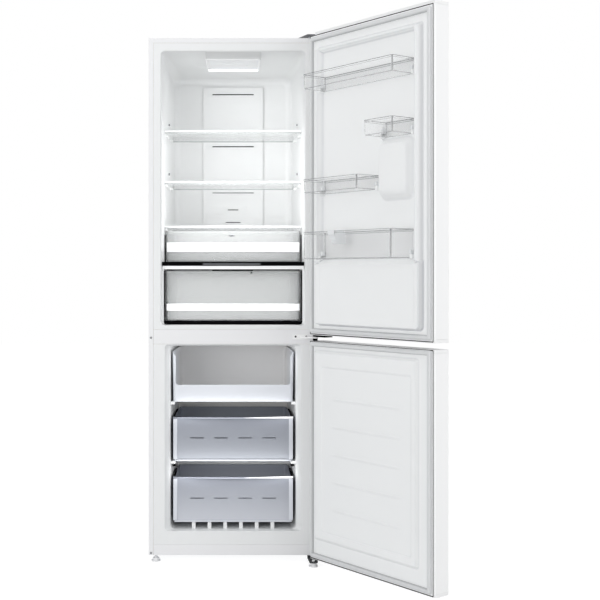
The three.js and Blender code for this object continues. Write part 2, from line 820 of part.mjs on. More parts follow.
function chillDrawerTub() {
  const body = tub(fridgeHalf, chillDrawer, 1);
  const { front, bottom, top } = chillDrawer;
  const band = frontBand(fridgeHalf, chillDrawer, bottom + 35, bottom + 70, 1.5, 1);
  const notch = box(-9, 9, front - 3, front + 6, top - 21, top - 17);
  return cut(join(body, band), notch);
}

function crisperDrawerTub() {
  const body = tub(fridgeHalf, crisperDrawer, 2);
  const bandBottom = crisperDrawer.bottom + 35.4;
  const band = frontBand(fridgeHalf, crisperDrawer, bandBottom, bandBottom + 25, 1.5, 2);
  return join(body, band);
}

// The top basket: a tub with its front cut down to a bar and its side walls rounded off in front.
function freezerBasketTub() {
  const body = tub(freezerHalf, freezerBasket, 3, 14);
  const { front, bottom, top } = freezerBasket;
  const post = 12;
  const barTop = bottom + 60;
  const postTop = top - 21;
  const half = freezerHalf(front) - freezerBasket.gap - post;
  const window = roundedRect(-half, half, barTop, top + 10, [10, 10, 1, 1]);
  const round = 24;
  const corner = Array.from({ length: 5 }, (_, i) => {
    const angle = ((90 + 22.5 * i) * Math.PI) / 180;
    return [front + round + round * Math.cos(angle), postTop - 3 + round * Math.sin(angle)];
  });
  const nose = [...corner, [front - 5, postTop - 3], [front - 5, top + 5], [front + round, top + 5]];
  return cut(
    body,
    prism("y", window, front - 1, front + 16),
    prism("x", nose, -cabinetHalf, cabinetHalf),
  );
}

// A freezer drawer with a bowed lip to pull it by and a row of slots across its front.
function freezerDrawerTub(size) {
  const body = tub(freezerHalf, size, 3);
  const half = freezerHalf(size.front) - size.gap - 10;
  const bow = Array.from({ length: 9 }, (_, i) => {
    const t = i / 4 - 1;
    return [half * t, size.front - 11 * Math.cos((t * Math.PI) / 2)];
  });
  const rim = [...bow, [half, size.front + 1.5], [-half, size.front + 1.5]];
  const lip = prism("z", rim, size.top - 5, size.top);
  const slotZ = size.bottom + 0.53 * (size.top - size.bottom);
  const slots = [-128, -43, 43, 128].map((x) =>
    box(x - 23.5, x + 23.5, size.front - 2, size.front + 8, slotZ - 2, slotZ + 2),
  );
  return cut(join(body, lip), ...slots);
}

// ---- Doors ----

const pivot = { x: cabinetHalf - pivotInset, y: -(gasketGap + pivotSetback) };
const doorHalf = cabinetHalf;
const doorInner = -gasketGap; // Y of the door's inner face
const doorOuter = doorInner - doorThickness;
const fromHinge = (distance) => doorHalf - distance; // X of a point that far from the hinge edge

function doorGroup() {
  const hinge = new THREE.Group();
  hinge.position.set(pivot.x, pivot.y, 0);
  hinge.rotation.z = THREE.MathUtils.degToRad(doorOpen);
  const door = new THREE.Group();
  door.position.set(-pivot.x, -pivot.y, 0);
  hinge.add(door);
  fridge.add(hinge);
  return door;
}

const doorOutline = (inset, corner) =>
  roundedRect(-doorHalf + inset, doorHalf - inset, doorOuter + inset, doorInner - inset, corner);

function doorSkin({ bottom, top }) {
  const z0 = bottom + capPlate + fit;
  const z1 = top - capPlate - fit;
  const inner = doorHalf - sheet;
  return cut(
    prism("z", doorOutline(0, doorCorner), z0, z1),
    prism("z", doorOutline(sheet, doorCorner - sheet), z0 - 1, z1 + 1),
    box(-inner + doorReturn, inner - doorReturn, doorInner - 2 * sheet, doorInner + 1, z0 - 1, z1 + 1),
  );
}

function doorFoam({ bottom, top }) {
  const half = doorHalf - sheet - fit;
  const edge = capPlate + capTongue + fit;
  const back = doorInner - linerWall - fit;
  const outline = roundedRect(-half, half, doorOuter + sheet + fit, back, doorCorner);
  return prism("z", outline, bottom + edge, top - edge);
}

// A cap at one end of a door: `end` is its outer face and `inward` points into the door along Z.
function doorCap({ end, inward, boreDepth = pinReach + 2, grip = false, pocket = 0 }) {
  const at = (distance) => end + inward * distance;
  const slab = (outline, a, b) => prism("z", outline, Math.min(at(a), at(b)), Math.max(at(a), at(b)));
  const half = doorHalf - sheet - doorReturn;
  const front = doorOuter + sheet + fit;
  const tongue = roundedRect(-half, half, front, doorInner - linerWall - fit, 2);
  const [boreEnd, boreMouth] = [at(boreDepth), at(-1)].sort((a, b) => a - b);
  const tools = [rod("z", pivot.x, pivot.y, pinRadius + running, boreEnd, boreMouth)];
  if (pocket) tools.push(slab(hingePocket, -1, pocket));
  if (grip) {
    const left = -doorHalf + 30;
    const mouth = roundedRect(left, left + gripLength, doorOuter + 8, doorOuter + 42, 10);
    const deep = roundedRect(left + 6, left + gripLength - 6, doorOuter + 10, doorOuter + 36, 8);
    tools.push(
      loft([mouth.map(([x, y]) => [x, y, at(-1)]), deep.map(([x, y]) => [x, y, at(gripDepth)])]),
    );
  }
  const plate = slab(doorOutline(0, doorCorner), 0, capPlate);
  return cut(join(plate, slab(tongue, capPlate - 1, capPlate + capTongue)), ...tools);
}

// Room in a door's cap that the top hinge sweeps as the door turns about its pin.
const hingePocket = [
  [-20.5, 18],
  [-13.8, 3],
  [-12.8, -3],
  [-9.8, -8.8],
  [-4.8, -12.6],
  [0, -14],
  [11, -22.5],
  [11, 18],
].map(([x, y]) => [pivot.x + x, pivot.y + y]);

// The magnetic seal: a flat base that clips into the liner and a soft bulb on it.
function doorGasket({ bottom, top, sealLow, sealHigh }) {
  const frame = (width, y0, y1) => {
    const narrowed = (gasketWidth - width) / 2;
    const [x0, x1] = [-doorHalf + gasketInset.free + narrowed, doorHalf - gasketInset.hinge - narrowed];
    const [z0, z1] = [bottom + sealLow + narrowed, top - sealHigh - narrowed];
    const outer = roundedRect(x0, x1, z0, z1, 6, 2);
    const inner = roundedRect(x0 + width, x1 - width, z0 + width, z1 - width, 4, 2);
    return cut(prism("y", outer, y0, y1), prism("y", inner, y0 - 1, y1 + 1));
  };
  const seat = doorInner + fit;
  return join(frame(gasketWidth, seat, seat + 3.2), frame(gasketBulb, seat + 3, -0.5));
}

// A raised panel on a door liner: `from` and `to` count from the hinge edge, `slope` draws in its top.
function raised(from, to, z0, z1, height, slope, corner = 10) {
  const [x0, x1] = [fromHinge(to), fromHinge(from)];
  const ring = (inset, y) => {
    const outline = roundedRect(x0 + inset, x1 - inset, z0 + inset, z1 - inset, corner);
    return outline.map(([x, z]) => [x, y, z]);
  };
  return loft([ring(0, doorInner - 1), ring(0, doorInner), ring(slope, doorInner + height)]);
}

function linerSheet({ bottom, top }) {
  const half = doorHalf - sheet - doorReturn - fit;
  const z0 = bottom + capPlate + fit;
  return box(-half, half, doorInner - linerWall, doorInner, z0, top - capPlate - fit);
}

const dyke = { foot: 40, top: 76, height: 32, freeFoot: cabinetWidth - 77, freeTop: cabinetWidth - 48 };
const lugReach = 5;

// Lugs for one bin: one on the wall at each end.
function binLugs({ from, to, bottom }) {
  const lug = (x0, x1) => box(x0, x1, doorInner - 1, doorInner + 22, bottom - 2, bottom + 12);
  return [lug(fromHinge(from - 2), fromHinge(from - 12)), lug(fromHinge(to + 12), fromHinge(to + 2))];
}

function upperDoorLiner() {
  const low = upperDoor.bottom + 35;
  const high = upperDoor.top - 57;
  const parts = [
    raised(dyke.foot, dyke.top, low, high, dyke.height, 8),
    raised(dyke.freeFoot, dyke.freeTop, low, high, dyke.height, 8),
    raised(dyke.foot, dyke.freeTop, high - 22, high, 18, 6),
    raised(dyke.foot + 4, dyke.freeTop - 4, low, bottleBin.bottom - 25, 22, 5),
    raised(jarBin.to + 5, eggBin.to + 4, jarBin.bottom - 40, eggBin.bottom - 4, 34, 20, 30),
    raised(eggBin.from - 21, eggBin.from - 7, eggBin.bottom - 8, eggBin.top + 2, 20, 2, 2),
    ...bins.flatMap(binLugs),
  ];
  return join(linerSheet(upperDoor), ...parts);
}

// A raised panel low enough to clear the cabinet's front, with a shallow field and ribs across it.
const lowerPanel = { from: 25, margin: 67, low: 72, high: 29, height: 9, slope: 9 };
const lowerField = { margin: 26, hinge: 45, low: 32, high: 55, depth: 2 };
const lowerRibs = { first: 190, pitch: 94, count: 5, width: 7, height: 1.2, ends: 56 };

function lowerDoorLiner() {
  const { from, height, slope } = lowerPanel;
  const to = cabinetWidth - lowerPanel.margin;
  const [z0, z1] = [lowerDoor.bottom + lowerPanel.low, lowerDoor.top - lowerPanel.high];
  const { depth } = lowerField;
  const [x0, x1] = [fromHinge(to - lowerField.margin), fromHinge(from + lowerField.hinge)];
  const [low, high] = [z0 + lowerField.low, z1 - lowerField.high];
  const field = (grow, y) => {
    const outline = roundedRect(x0 - grow, x1 + grow, low - grow, high + grow, 6);
    return outline.map(([x, z]) => [x, y, z]);
  };
  const floor = doorInner + height - depth;
  const sunk = loft([field(-depth, floor), field(1, doorInner + height + 1)]);
  const ribs = Array.from({ length: lowerRibs.count }, (_, i) => {
    const z = lowerDoor.bottom + lowerRibs.first + lowerRibs.pitch * i;
    const [a, b] = [from + lowerField.hinge + lowerRibs.ends, to - lowerField.margin - lowerRibs.ends];
    const half = lowerRibs.width / 2;
    return raised(a, b, z - half, z + half, height - depth + lowerRibs.height, 2, 1);
  });
  const panel = raised(from, to, z0, z1, height, slope, 12);
  return join(linerSheet(lowerDoor), cut(panel, sunk), ...ribs);
}

// A clear bin with an ear at each end that rests on a lug.
function doorBin({ from, to, bottom, top }) {
  const [x0, x1] = [fromHinge(to), fromHinge(from)];
  const [y0, y1] = [doorInner + 2, doorInner + binDepth];
  const ring = (z, inset) => {
    const radii = [3, 3, binCorner - inset, binCorner - inset];
    return roundedRect(x0 + inset, x1 - inset, y0 + inset, y1 - inset, radii).map(([x, y]) => [x, y, z]);
  };
  const body = cut(
    loft([ring(bottom, 2), ring(bottom + 12, 0), ring(top, 0)]),
    loft([ring(bottom + tubWall, 2 + tubWall), ring(bottom + 12, tubWall), ring(top + 1, tubWall)]),
  );
  const ear = (a, b) => box(a, b, y0 + 4, y0 + 18, bottom + 12 + fit, bottom + 26);
  return join(body, ear(x0 - lugReach, x0 + 1), ear(x1 - 1, x1 + lugReach));
}

// A fin across the lowest bin that clips over its front wall.
function bottleHolder() {
  const { top } = bottleBin;
  const x = fromHinge(holderPlace);
  const front = doorInner + binDepth;
  const fin = [
    [front - 62, top - 42],
    [front - tubWall - fit, top - 42],
    [front - tubWall - fit, top + fit],
    [front + fit, top + fit],
    [front + fit, top - 12],
    [front + 2, top - 12],
    [front + 2, top + 3],
    [front - 50, top + 3],
    [front - 62, top - 8],
  ];
  const clip = [
    [front - tubWall - fit - 2, top - 30],
    [front - tubWall - fit, top - 30],
    [front - tubWall - fit, top + fit],
    [front + fit, top + fit],
    [front + fit, top - 12],
    [front + 2, top - 12],
    [front + 2, top + 3],
    [front - tubWall - fit - 2, top + 3],
  ];
  return join(prism("x", fin, x - 1, x + 1), prism("x", clip, x - 16, x + 16));
}

// ---- Hinges and feet ----

const pinAt = (z0, z1, radius = pinRadius) => rod("z", pivot.x, pivot.y, radius, z0, z1, 16);

const topPlateOutline = (grow) => [
  [pivot.x - 52 - grow, 62 + grow],
  [pivot.x - 4 - grow, -38 - grow],
  [pivot.x + 4 + grow, -38 - grow],
  [pivot.x + 7 + grow, -34],
  [pivot.x + 7 + grow, 62 + grow],
];
const topPinReach = 13; // below the cabinet's top

function topHinge() {
  const z = cabinetTop + fit;
  return join(prism("z", topPlateOutline(0), z, z + hingePlate), pinAt(cabinetTop - topPinReach, z + 1));
}

// A shell over the part of the hinge plate that lies on the cabinet.
function topHingeCover() {
  const z = cabinetTop + fit;
  const front = 1;
  const wall = 2.4;
  const ahead = (y) => box(-cabinetHalf, cabinetHalf, -cabinetHalf, y, z - 2, z + 20);
  return cut(
    prism("z", topPlateOutline(wall), z, z + 14),
    ahead(front),
    cut(prism("z", topPlateOutline(fit), z - 1, z + hingePlate + 8), ahead(front + wall)),
    prism("z", topPlateOutline(fit), z - 1, z + hingePlate + fit),
  );
}

function middleHinge() {
  const armBottom = (upperDoor.bottom + lowerDoor.top - armThickness) / 2;
  const armTop = armBottom + armThickness;
  const plate = box(pivot.x - 78, pivot.x - 26, -hingePlate, 0, armBottom - 5, armBottom + 13);
  const arm = [
    [pivot.x - 50, 0],
    [pivot.x - 50, -hingePlate],
    [pivot.x - 12, pivot.y - 9],
    [pivot.x + 6, pivot.y - 9],
    [pivot.x + 9, pivot.y - 4],
    [pivot.x + 9, pivot.y + 6],
    [pivot.x - 18, 0],
  ];
  return join(
    plate,
    prism("z", arm, armBottom, armTop),
    pinAt(armTop - 1, upperDoor.bottom + pinReach),
    pinAt(lowerDoor.top - pinReach, armBottom + 1),
  );
}

const footArmTop = lowerDoor.bottom - 5;
const footArmBottom = footArmTop - 4;

// A plate under the cabinet's floor, stepped down to an arm that carries the pin and the right foot.
function bottomHinge() {
  const [left, right] = [pivot.x - 26, pivot.x + 6];
  const plateTop = cabinetBottom - fit;
  const plate = box(left, right, 2, 62, plateTop - hingePlate, plateTop);
  const step = box(left, right, 2, 2 + hingePlate, footArmBottom, plateTop);
  const arm = [
    [left, 2 + hingePlate],
    [left, -8],
    [rightFoot.x - 14, rightFoot.y - 14],
    [rightFoot.x + 14, rightFoot.y - 14],
    [pivot.x + 9, pivot.y - 6],
    [pivot.x + 9, pivot.y + 6],
    [right, 2 + hingePlate],
  ];
  const bush = rod("z", rightFoot.x, rightFoot.y, 10, footPad + fit, footArmTop, 16);
  const thread = rod("z", rightFoot.x, rightFoot.y, footStem + running, 0, lowerDoor.bottom);
  const body = join(plate, step, prism("z", arm, footArmBottom, footArmTop), bush);
  return join(cut(body, thread), pinAt(footArmTop - 1, lowerDoor.bottom + pinReach));
}

function foot({ x, y }, stemTop) {
  const pad = rod("z", x, y, footRadius, 0, footDisc, 16);
  const nut = rod("z", x, y, footRadius - 4, footDisc - 1, footPad, 6);
  return join(pad, nut, rod("z", x, y, footStem, 1, stemTop, 12));
}

// ---- Build ----

function buildCabinet() {
  place("cabinet_wrapper", cabinetWrapper(), white);
  place("back_panel", backPanel(), steel);
  place("insulation_foam", insulationFoam(), foamYellow);
  place("fridge_liner", fridgeLiner(), linerWhite);
  place("freezer_liner", freezerLiner(), linerWhite);
  place("cross_beam", frontPlate(beamBottom, beamTop), white);
  place("base_rail", frontPlate(cabinetBottom, railTop), white);
  place("floor_pan", floorPan(), steel);
  place("compressor_tray", compressorTray(), steel);
  place("compressor", compressor(), black);
  place("drip_tray", dripTray(), darkGrey);
  place("compressor_cover", compressorCover(), steel);
  place("evaporator_coil", evaporatorCoil(), steel);
  place("freezer_back_panel", freezerBackPanel(), linerWhite);
  place("evaporator_fan", evaporatorFan(), darkGrey);
  place("air_duct_panel", airDuctPanel(), linerWhite);
  place("lamp_housing", lampHousing(), trimWhite);
  place("lamp_diffuser", lampDiffuser(), lampWhite);
  place("left_roller", roller(-1), darkGrey);
  place("right_roller", roller(1), darkGrey);
}

function buildInterior() {
  shelfLevels.forEach((level, i) => {
    const name = `shelf_${i + 1}`;
    place(`${name}_glass`, shelfGlass(level), glassClear);
    place(`${name}_front_trim`, shelfTrim(level, shelfFront, 1, 4, 4), trimWhite);
    place(`${name}_rear_trim`, shelfTrim(level, shelfBack, -1, 14, 3), trimWhite);
  });
  place("crisper_cover", crisperCover(), trimWhite);
  place("crisper_runner_frame", runnerFrame(crisperFrame), black);
  place("chill_runner_frame", runnerFrame(chillFrame), black);
  place("chill_drawer", chillDrawerTub(), clear);
  place("crisper_drawer", crisperDrawerTub(), clear);
  place("freezer_basket", freezerBasketTub(), trimWhite);
  place("freezer_drawer_upper", freezerDrawerTub(upperDrawer), frosted);
  place("freezer_drawer_lower", freezerDrawerTub(lowerDrawer), frosted);
}

function buildDoor(size, doorLiner) {
  const door = doorGroup();
  const { name, bottom, top } = size;
  const upper = size === upperDoor;
  place(`${name}_skin`, doorSkin(size), white, door);
  place(`${name}_foam`, doorFoam(size), foamYellow, door);
  place(`${name}_liner`, doorLiner(), linerWhite, door);
  place(`${name}_gasket`, doorGasket(size), seal, door);
  const room = upper && {
    boreDepth: doorRise + topPinReach + 2,
    pocket: doorRise + running - fit,
  };
  place(`${name}_top_cap`, doorCap({ end: top, inward: -1, grip: !upper, ...room }), white, door);
  place(`${name}_bottom_cap`, doorCap({ end: bottom, inward: 1, grip: upper }), white, door);
  return door;
}

function buildHinges() {
  place("top_hinge", topHinge(), steel);
  place("top_hinge_cover", topHingeCover(), darkGrey);
  place("middle_hinge", middleHinge(), white);
  place("bottom_hinge", bottomHinge(), darkGrey);
  place("left_foot", foot(leftFoot, leftStemTop), trimWhite);
  place("right_foot", foot(rightFoot, lowerDoor.bottom - 2 * fit), trimWhite);
}

buildCabinet();
buildInterior();
buildHinges();
const upperDoorGroup = buildDoor(upperDoor, upperDoorLiner);
bins.forEach((size) => place(size.name, doorBin(size), clear, upperDoorGroup));
place("bottle_holder", bottleHolder(), clear, upperDoorGroup);
buildDoor(lowerDoor, lowerDoorLiner);

// The part's origin is the middle of its outer box on the floor, as it stands with its doors open.
const envelope = new THREE.Box3().setFromObject(fridge);
const middle = envelope.getCenter(new THREE.Vector3());
fridge.position.set(-middle.x, -middle.y, -envelope.min.z);

const part = new THREE.Group();
part.add(fridge);

export default part;
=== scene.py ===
# %% [markdown]
# # A bottom freezer refrigerator with its doors open
#
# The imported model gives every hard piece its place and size. This lesson dresses it: it puts smooth
# surfaces over the pieces that show most, rounds the edges of the rest, and gives each one the finish of
# the real thing. A refrigerator is nearly all white, so its looks come from small things: soft corners that
# catch a gradient, thin dark gaps between pieces, the sheen of each plastic, and clear walls that darken
# only at their edges.

import json
import math

import bmesh
import bpy
import numpy as np
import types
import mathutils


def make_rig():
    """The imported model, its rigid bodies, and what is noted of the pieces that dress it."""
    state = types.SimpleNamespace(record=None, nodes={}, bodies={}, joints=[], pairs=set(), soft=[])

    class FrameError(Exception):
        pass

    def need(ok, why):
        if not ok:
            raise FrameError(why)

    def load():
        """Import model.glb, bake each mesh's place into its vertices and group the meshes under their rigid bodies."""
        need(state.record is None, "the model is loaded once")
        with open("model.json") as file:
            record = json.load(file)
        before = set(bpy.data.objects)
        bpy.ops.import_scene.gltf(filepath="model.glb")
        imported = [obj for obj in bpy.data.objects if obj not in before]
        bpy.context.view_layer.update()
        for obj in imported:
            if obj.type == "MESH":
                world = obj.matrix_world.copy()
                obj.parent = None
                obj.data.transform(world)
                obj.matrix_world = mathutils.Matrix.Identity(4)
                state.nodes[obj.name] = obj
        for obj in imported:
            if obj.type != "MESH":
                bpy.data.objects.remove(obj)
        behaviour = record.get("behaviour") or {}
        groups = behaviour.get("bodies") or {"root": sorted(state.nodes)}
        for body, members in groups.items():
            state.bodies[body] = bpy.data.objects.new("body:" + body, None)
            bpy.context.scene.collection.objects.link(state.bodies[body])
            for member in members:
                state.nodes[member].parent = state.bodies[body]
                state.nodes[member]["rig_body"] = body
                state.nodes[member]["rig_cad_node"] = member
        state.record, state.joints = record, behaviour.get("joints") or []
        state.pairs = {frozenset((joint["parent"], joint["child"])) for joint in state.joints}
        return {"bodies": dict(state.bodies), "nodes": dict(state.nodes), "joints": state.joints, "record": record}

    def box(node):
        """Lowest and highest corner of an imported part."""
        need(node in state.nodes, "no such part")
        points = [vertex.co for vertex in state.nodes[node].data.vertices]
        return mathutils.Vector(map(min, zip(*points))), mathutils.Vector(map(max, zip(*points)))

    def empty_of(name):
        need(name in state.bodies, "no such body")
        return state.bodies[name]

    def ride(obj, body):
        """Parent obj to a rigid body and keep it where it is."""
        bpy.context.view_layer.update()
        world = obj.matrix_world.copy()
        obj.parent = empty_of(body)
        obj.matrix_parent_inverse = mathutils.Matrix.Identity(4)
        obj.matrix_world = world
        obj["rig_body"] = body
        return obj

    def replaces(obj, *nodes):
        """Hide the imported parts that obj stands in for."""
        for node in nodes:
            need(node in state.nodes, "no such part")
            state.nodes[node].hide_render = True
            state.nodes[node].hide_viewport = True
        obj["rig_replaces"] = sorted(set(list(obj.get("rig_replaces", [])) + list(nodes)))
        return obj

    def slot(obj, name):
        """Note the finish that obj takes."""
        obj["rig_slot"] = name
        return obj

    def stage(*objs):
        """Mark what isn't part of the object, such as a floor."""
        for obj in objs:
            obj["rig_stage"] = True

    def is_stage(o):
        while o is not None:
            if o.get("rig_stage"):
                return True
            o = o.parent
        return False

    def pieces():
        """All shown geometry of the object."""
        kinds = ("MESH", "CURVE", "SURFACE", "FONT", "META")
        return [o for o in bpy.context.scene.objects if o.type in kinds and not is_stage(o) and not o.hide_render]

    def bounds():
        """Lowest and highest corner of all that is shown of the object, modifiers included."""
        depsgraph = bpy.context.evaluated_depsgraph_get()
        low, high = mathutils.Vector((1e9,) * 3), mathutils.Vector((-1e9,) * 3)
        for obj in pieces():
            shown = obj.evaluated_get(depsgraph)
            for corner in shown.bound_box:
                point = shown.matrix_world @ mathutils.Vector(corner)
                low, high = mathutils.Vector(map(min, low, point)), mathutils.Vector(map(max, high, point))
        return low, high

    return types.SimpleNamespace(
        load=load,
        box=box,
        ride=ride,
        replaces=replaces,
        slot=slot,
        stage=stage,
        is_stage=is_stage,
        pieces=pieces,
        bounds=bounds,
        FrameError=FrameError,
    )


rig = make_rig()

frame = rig.load()
cad_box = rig.bounds()
print("frame:", len(frame["nodes"]), "pieces on", len(frame["bodies"]), "bodies")

# %% [markdown]
# ## One drawing for everything
#
# Everything here is drawn in millimetres with both doors shut: X runs across the cabinet from its middle, Y
# goes back from its front edge, and Z goes up from the floor. One function turns a drawing into the packed
# model's place. It swings what belongs to a door about the hinge line by the angle at which the doors
# stand.

# %% The drawing frame
MM = 0.001
DOOR_BODIES = {"upper_door", "lower_door", "top_bin", "egg_bin", "jar_bin", "bottle_bin", "bottle_holder"}
wrapper_low, wrapper_high = (np.array(corner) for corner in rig.box("cabinet_wrapper"))
ORIGIN = np.array([(wrapper_low[0] + wrapper_high[0]) / 2, wrapper_low[1], 0.0])
swing = next(joint for joint in frame["joints"] if joint["name"] == "upper_door_swing")
PIVOT = (np.array(swing["pos_m"]) - ORIGIN) / MM
OPEN_ANGLE = math.radians(-swing["range_deg"][0])


def turned(points, angle):
    """Points turned about the upright hinge line: each offset from the pivot is rotated by the angle."""
    c, s = math.cos(angle), math.sin(angle)
    x, y = points[..., 0] - PIVOT[0], points[..., 1] - PIVOT[1]
    return np.stack([PIVOT[0] + c * x - s * y, PIVOT[1] + s * x + c * y, points[..., 2]], -1)


def placed(points, body):
    """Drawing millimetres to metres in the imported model, swung open where the body is on a door."""
    points = turned(points, OPEN_ANGLE) if body in DOOR_BODIES else points
    return points * MM + ORIGIN


def measured(node):
    """Lowest and highest corner of a CAD node in the drawing, with its door swung shut first."""
    source = frame["nodes"][node]
    points = np.empty(len(source.data.vertices) * 3)
    source.data.vertices.foreach_get("co", points)
    points = (points.reshape(-1, 3) - ORIGIN) / MM
    points = turned(points, -OPEN_ANGLE) if source["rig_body"] in DOOR_BODIES else points
    return points.min(0), points.max(0)


cabinet_low, cabinet_high = measured("cabinet_wrapper")
print("cabinet in the drawing:", cabinet_low.round(1), cabinet_high.round(1))
print("hinge line at", PIVOT.round(1)[:2], "doors open by", round(math.degrees(OPEN_ANGLE)), "degrees")

# %% [markdown]
# ## Camera
#
# The view is level, from about eye height of a seated person, nearly four metres away. The refrigerator
# stands right of the lens's axis and the frame is shifted instead of turned, which keeps all its upright
# edges parallel.

# %% Camera
CAMERA_AT = (0.0, -3856.3, 1014.6)
IMAGE_SIDE = 600
FOCAL_PIXELS = 1095.12
AXIS_PIXEL = (233.08, 274.47)

lens = bpy.data.cameras.new("photo_camera")
lens.sensor_width = 36
lens.lens = FOCAL_PIXELS * lens.sensor_width / IMAGE_SIDE
lens.shift_x = 0.5 - AXIS_PIXEL[0] / IMAGE_SIDE
lens.shift_y = AXIS_PIXEL[1] / IMAGE_SIDE - 0.5
lens.clip_end = 60
camera = bpy.data.objects.new("photo_camera", lens)
camera.location = placed(np.array(CAMERA_AT), "cabinet")
camera.rotation_euler = (math.pi / 2, 0, 0)
bpy.context.scene.collection.objects.link(camera)
bpy.context.scene.camera = camera
print("camera lens", round(lens.lens, 2), "mm, shift", round(lens.shift_x, 4), round(lens.shift_y, 4))

# %% [markdown]
# ## Studio
#
# A white sweep and broad soft lamps. The floor shows white to the camera and to glass and gloss, but still
# takes the object's shadow: its material adds plain white light to a pale diffuse surface.

# %% Studio
scene = bpy.context.scene
scene.view_settings.view_transform = "Standard"


def background_mix(tree, lit, plain, output):
    """Shows `plain` to camera, glossy and transmission rays, and `lit` to all other rays."""
    rays = tree.nodes.new("ShaderNodeLightPath")
    shown = rays.outputs["Is Camera Ray"]
    for flag in ("Is Glossy Ray", "Is Transmission Ray"):
        larger = tree.nodes.new("ShaderNodeMath")
        larger.operation = "MAXIMUM"
        tree.links.new(shown, larger.inputs[0])
        tree.links.new(rays.outputs[flag], larger.inputs[1])
        shown = larger.outputs[0]
    mix = tree.nodes.new("ShaderNodeMixShader")
    for place, value in enumerate((shown, lit, plain)):
        tree.links.new(value, mix.inputs[place])
    tree.links.new(mix.outputs[0], output)


def emptied(holder):
    """The node tree of a new world or material, with no nodes in it."""
    holder.use_nodes = True
    holder.node_tree.nodes.clear()
    return holder.node_tree


def shader_node(tree, kind, **values):
    """The output of a shader node of this kind whose inputs are set by name."""
    node = tree.nodes.new("ShaderNode" + kind)
    for name, value in values.items():
        node.inputs[name].default_value = value
    return node.outputs[0]


def studio_world(strength):
    """A world that lights at `strength` and shows plain white behind the object."""
    scene.world = bpy.data.worlds.new("studio_world")
    tree = emptied(scene.world)
    lit = shader_node(tree, "Background", Color=(0.97, 0.985, 1.0, 1), Strength=strength)
    plain = shader_node(tree, "Background", Color=(1, 1, 1, 1), Strength=1.0)
    output = tree.nodes.new("ShaderNodeOutputWorld")
    background_mix(tree, lit, plain, output.inputs["Surface"])


def floor_material():
    """White light plus a pale diffuse surface for the camera, a plain diffuse floor for all the rest."""
    material = bpy.data.materials.new("studio_floor")
    tree = emptied(material)
    diffuse = shader_node(tree, "BsdfDiffuse", Color=(0.8, 0.8, 0.8, 1))
    both = tree.nodes.new("ShaderNodeAddShader")
    tree.links.new(shader_node(tree, "BsdfDiffuse", Color=(0.4, 0.4, 0.4, 1)), both.inputs[0])
    tree.links.new(shader_node(tree, "Emission", Strength=0.86), both.inputs[1])
    output = tree.nodes.new("ShaderNodeOutputMaterial")
    background_mix(tree, diffuse, both.outputs[0], output.inputs["Surface"])
    return material


def studio_floor(half, height):
    """A square floor of 2 * half metres, just under the feet."""
    mesh = bpy.data.meshes.new("studio_floor")
    corners = [(-half, -half, height), (half, -half, height), (half, half, height), (-half, half, height)]
    mesh.from_pydata(corners, [], [(0, 1, 2, 3)])
    mesh.materials.append(floor_material())
    floor = bpy.data.objects.new("studio_floor", mesh)
    scene.collection.objects.link(floor)
    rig.stage(floor)


def softbox(name, location, target, size, power):
    """A rectangular area lamp at `location` that faces `target`."""
    lamp = bpy.data.lights.new(name, "AREA")
    lamp.shape = "RECTANGLE"
    lamp.size, lamp.size_y = size
    lamp.energy = power
    holder = bpy.data.objects.new(name, lamp)
    holder.location = location
    direction = np.array(target) - np.array(location)
    yaw = math.atan2(direction[1], direction[0]) - math.pi / 2
    pitch = math.atan2(direction[2], math.hypot(direction[0], direction[1])) + math.pi / 2
    holder.rotation_euler = (pitch, 0, yaw)
    scene.collection.objects.link(holder)
    return holder


studio_world(strength=0.42)
studio_floor(half=12, height=-0.0005)
softbox("front_softbox", (-2.5, -3.6, 1.5), (-0.2, 0, 1.0), size=(2.8, 2.8), power=61)
softbox("side_softbox", (3.5, -2.9, 1.9), (0.1, 0, 1.1), size=(1.8, 2.4), power=62)
softbox("top_softbox", (-0.2, -0.8, 3.6), (-0.1, -0.1, 1.0), size=(2.6, 2.2), power=16)
lamp_low = measured("lamp_diffuser")[0]
bulb_at = placed(np.array([0, lamp_low[1] - 60, lamp_low[2] - 6]), "cabinet")
FILL_LIGHTS = {  # height in mm, size in m, power in W; each looks in from the mouth of its compartment
    "shelf_light": (1330, (0.44, 0.42), 1.0),
    "chill_light": (1120, (0.44, 0.08), 0.11),
    "crisper_light": (925, (0.44, 0.18), 0.25),
    "basket_light": (700, (0.4, 0.08), 0.13),
    "upper_tub_light": (532, (0.4, 0.05), 0.12),
    "lower_tub_light": (322, (0.4, 0.05), 0.19),
    "tub_front_light": (250, (0.4, 0.3), 0.05),
}
lamps = [softbox("fridge_lamp", bulb_at, bulb_at + (0, 0.06, -0.5), (0.17, 0.12), 0.13)]
for name, (height, size, power) in FILL_LIGHTS.items():
    mouth = placed(np.array([0, 4, height]), "cabinet")
    lamps.append(softbox(name, mouth, mouth + (0, 0.5, 0), size, power))
for lamp in lamps:
    lamp.visible_camera = False
    lamp.visible_glossy = False
print("studio: white world, floor, three soft boxes and", len(lamps), "small lights in the compartments")

# %% [markdown]
# ## Surfaces from arrays
#
# Moulded plastic and pressed steel have no sharp edges: each edge is a small arc. A shape here is a stack
# of rings, and each ring is a rounded rectangle. The stack is worked out as one array, so that a wall that
# leans, a corner that opens towards the back or a rolled rim is only another row of numbers. A rectangle of
# corner arcs costs few points and its flat sides stay flat, which a subdivided box wouldn't give.

# %% Rings and grids
FRONT_CORNERS, BACK_CORNERS = (2, 3), (0, 1)


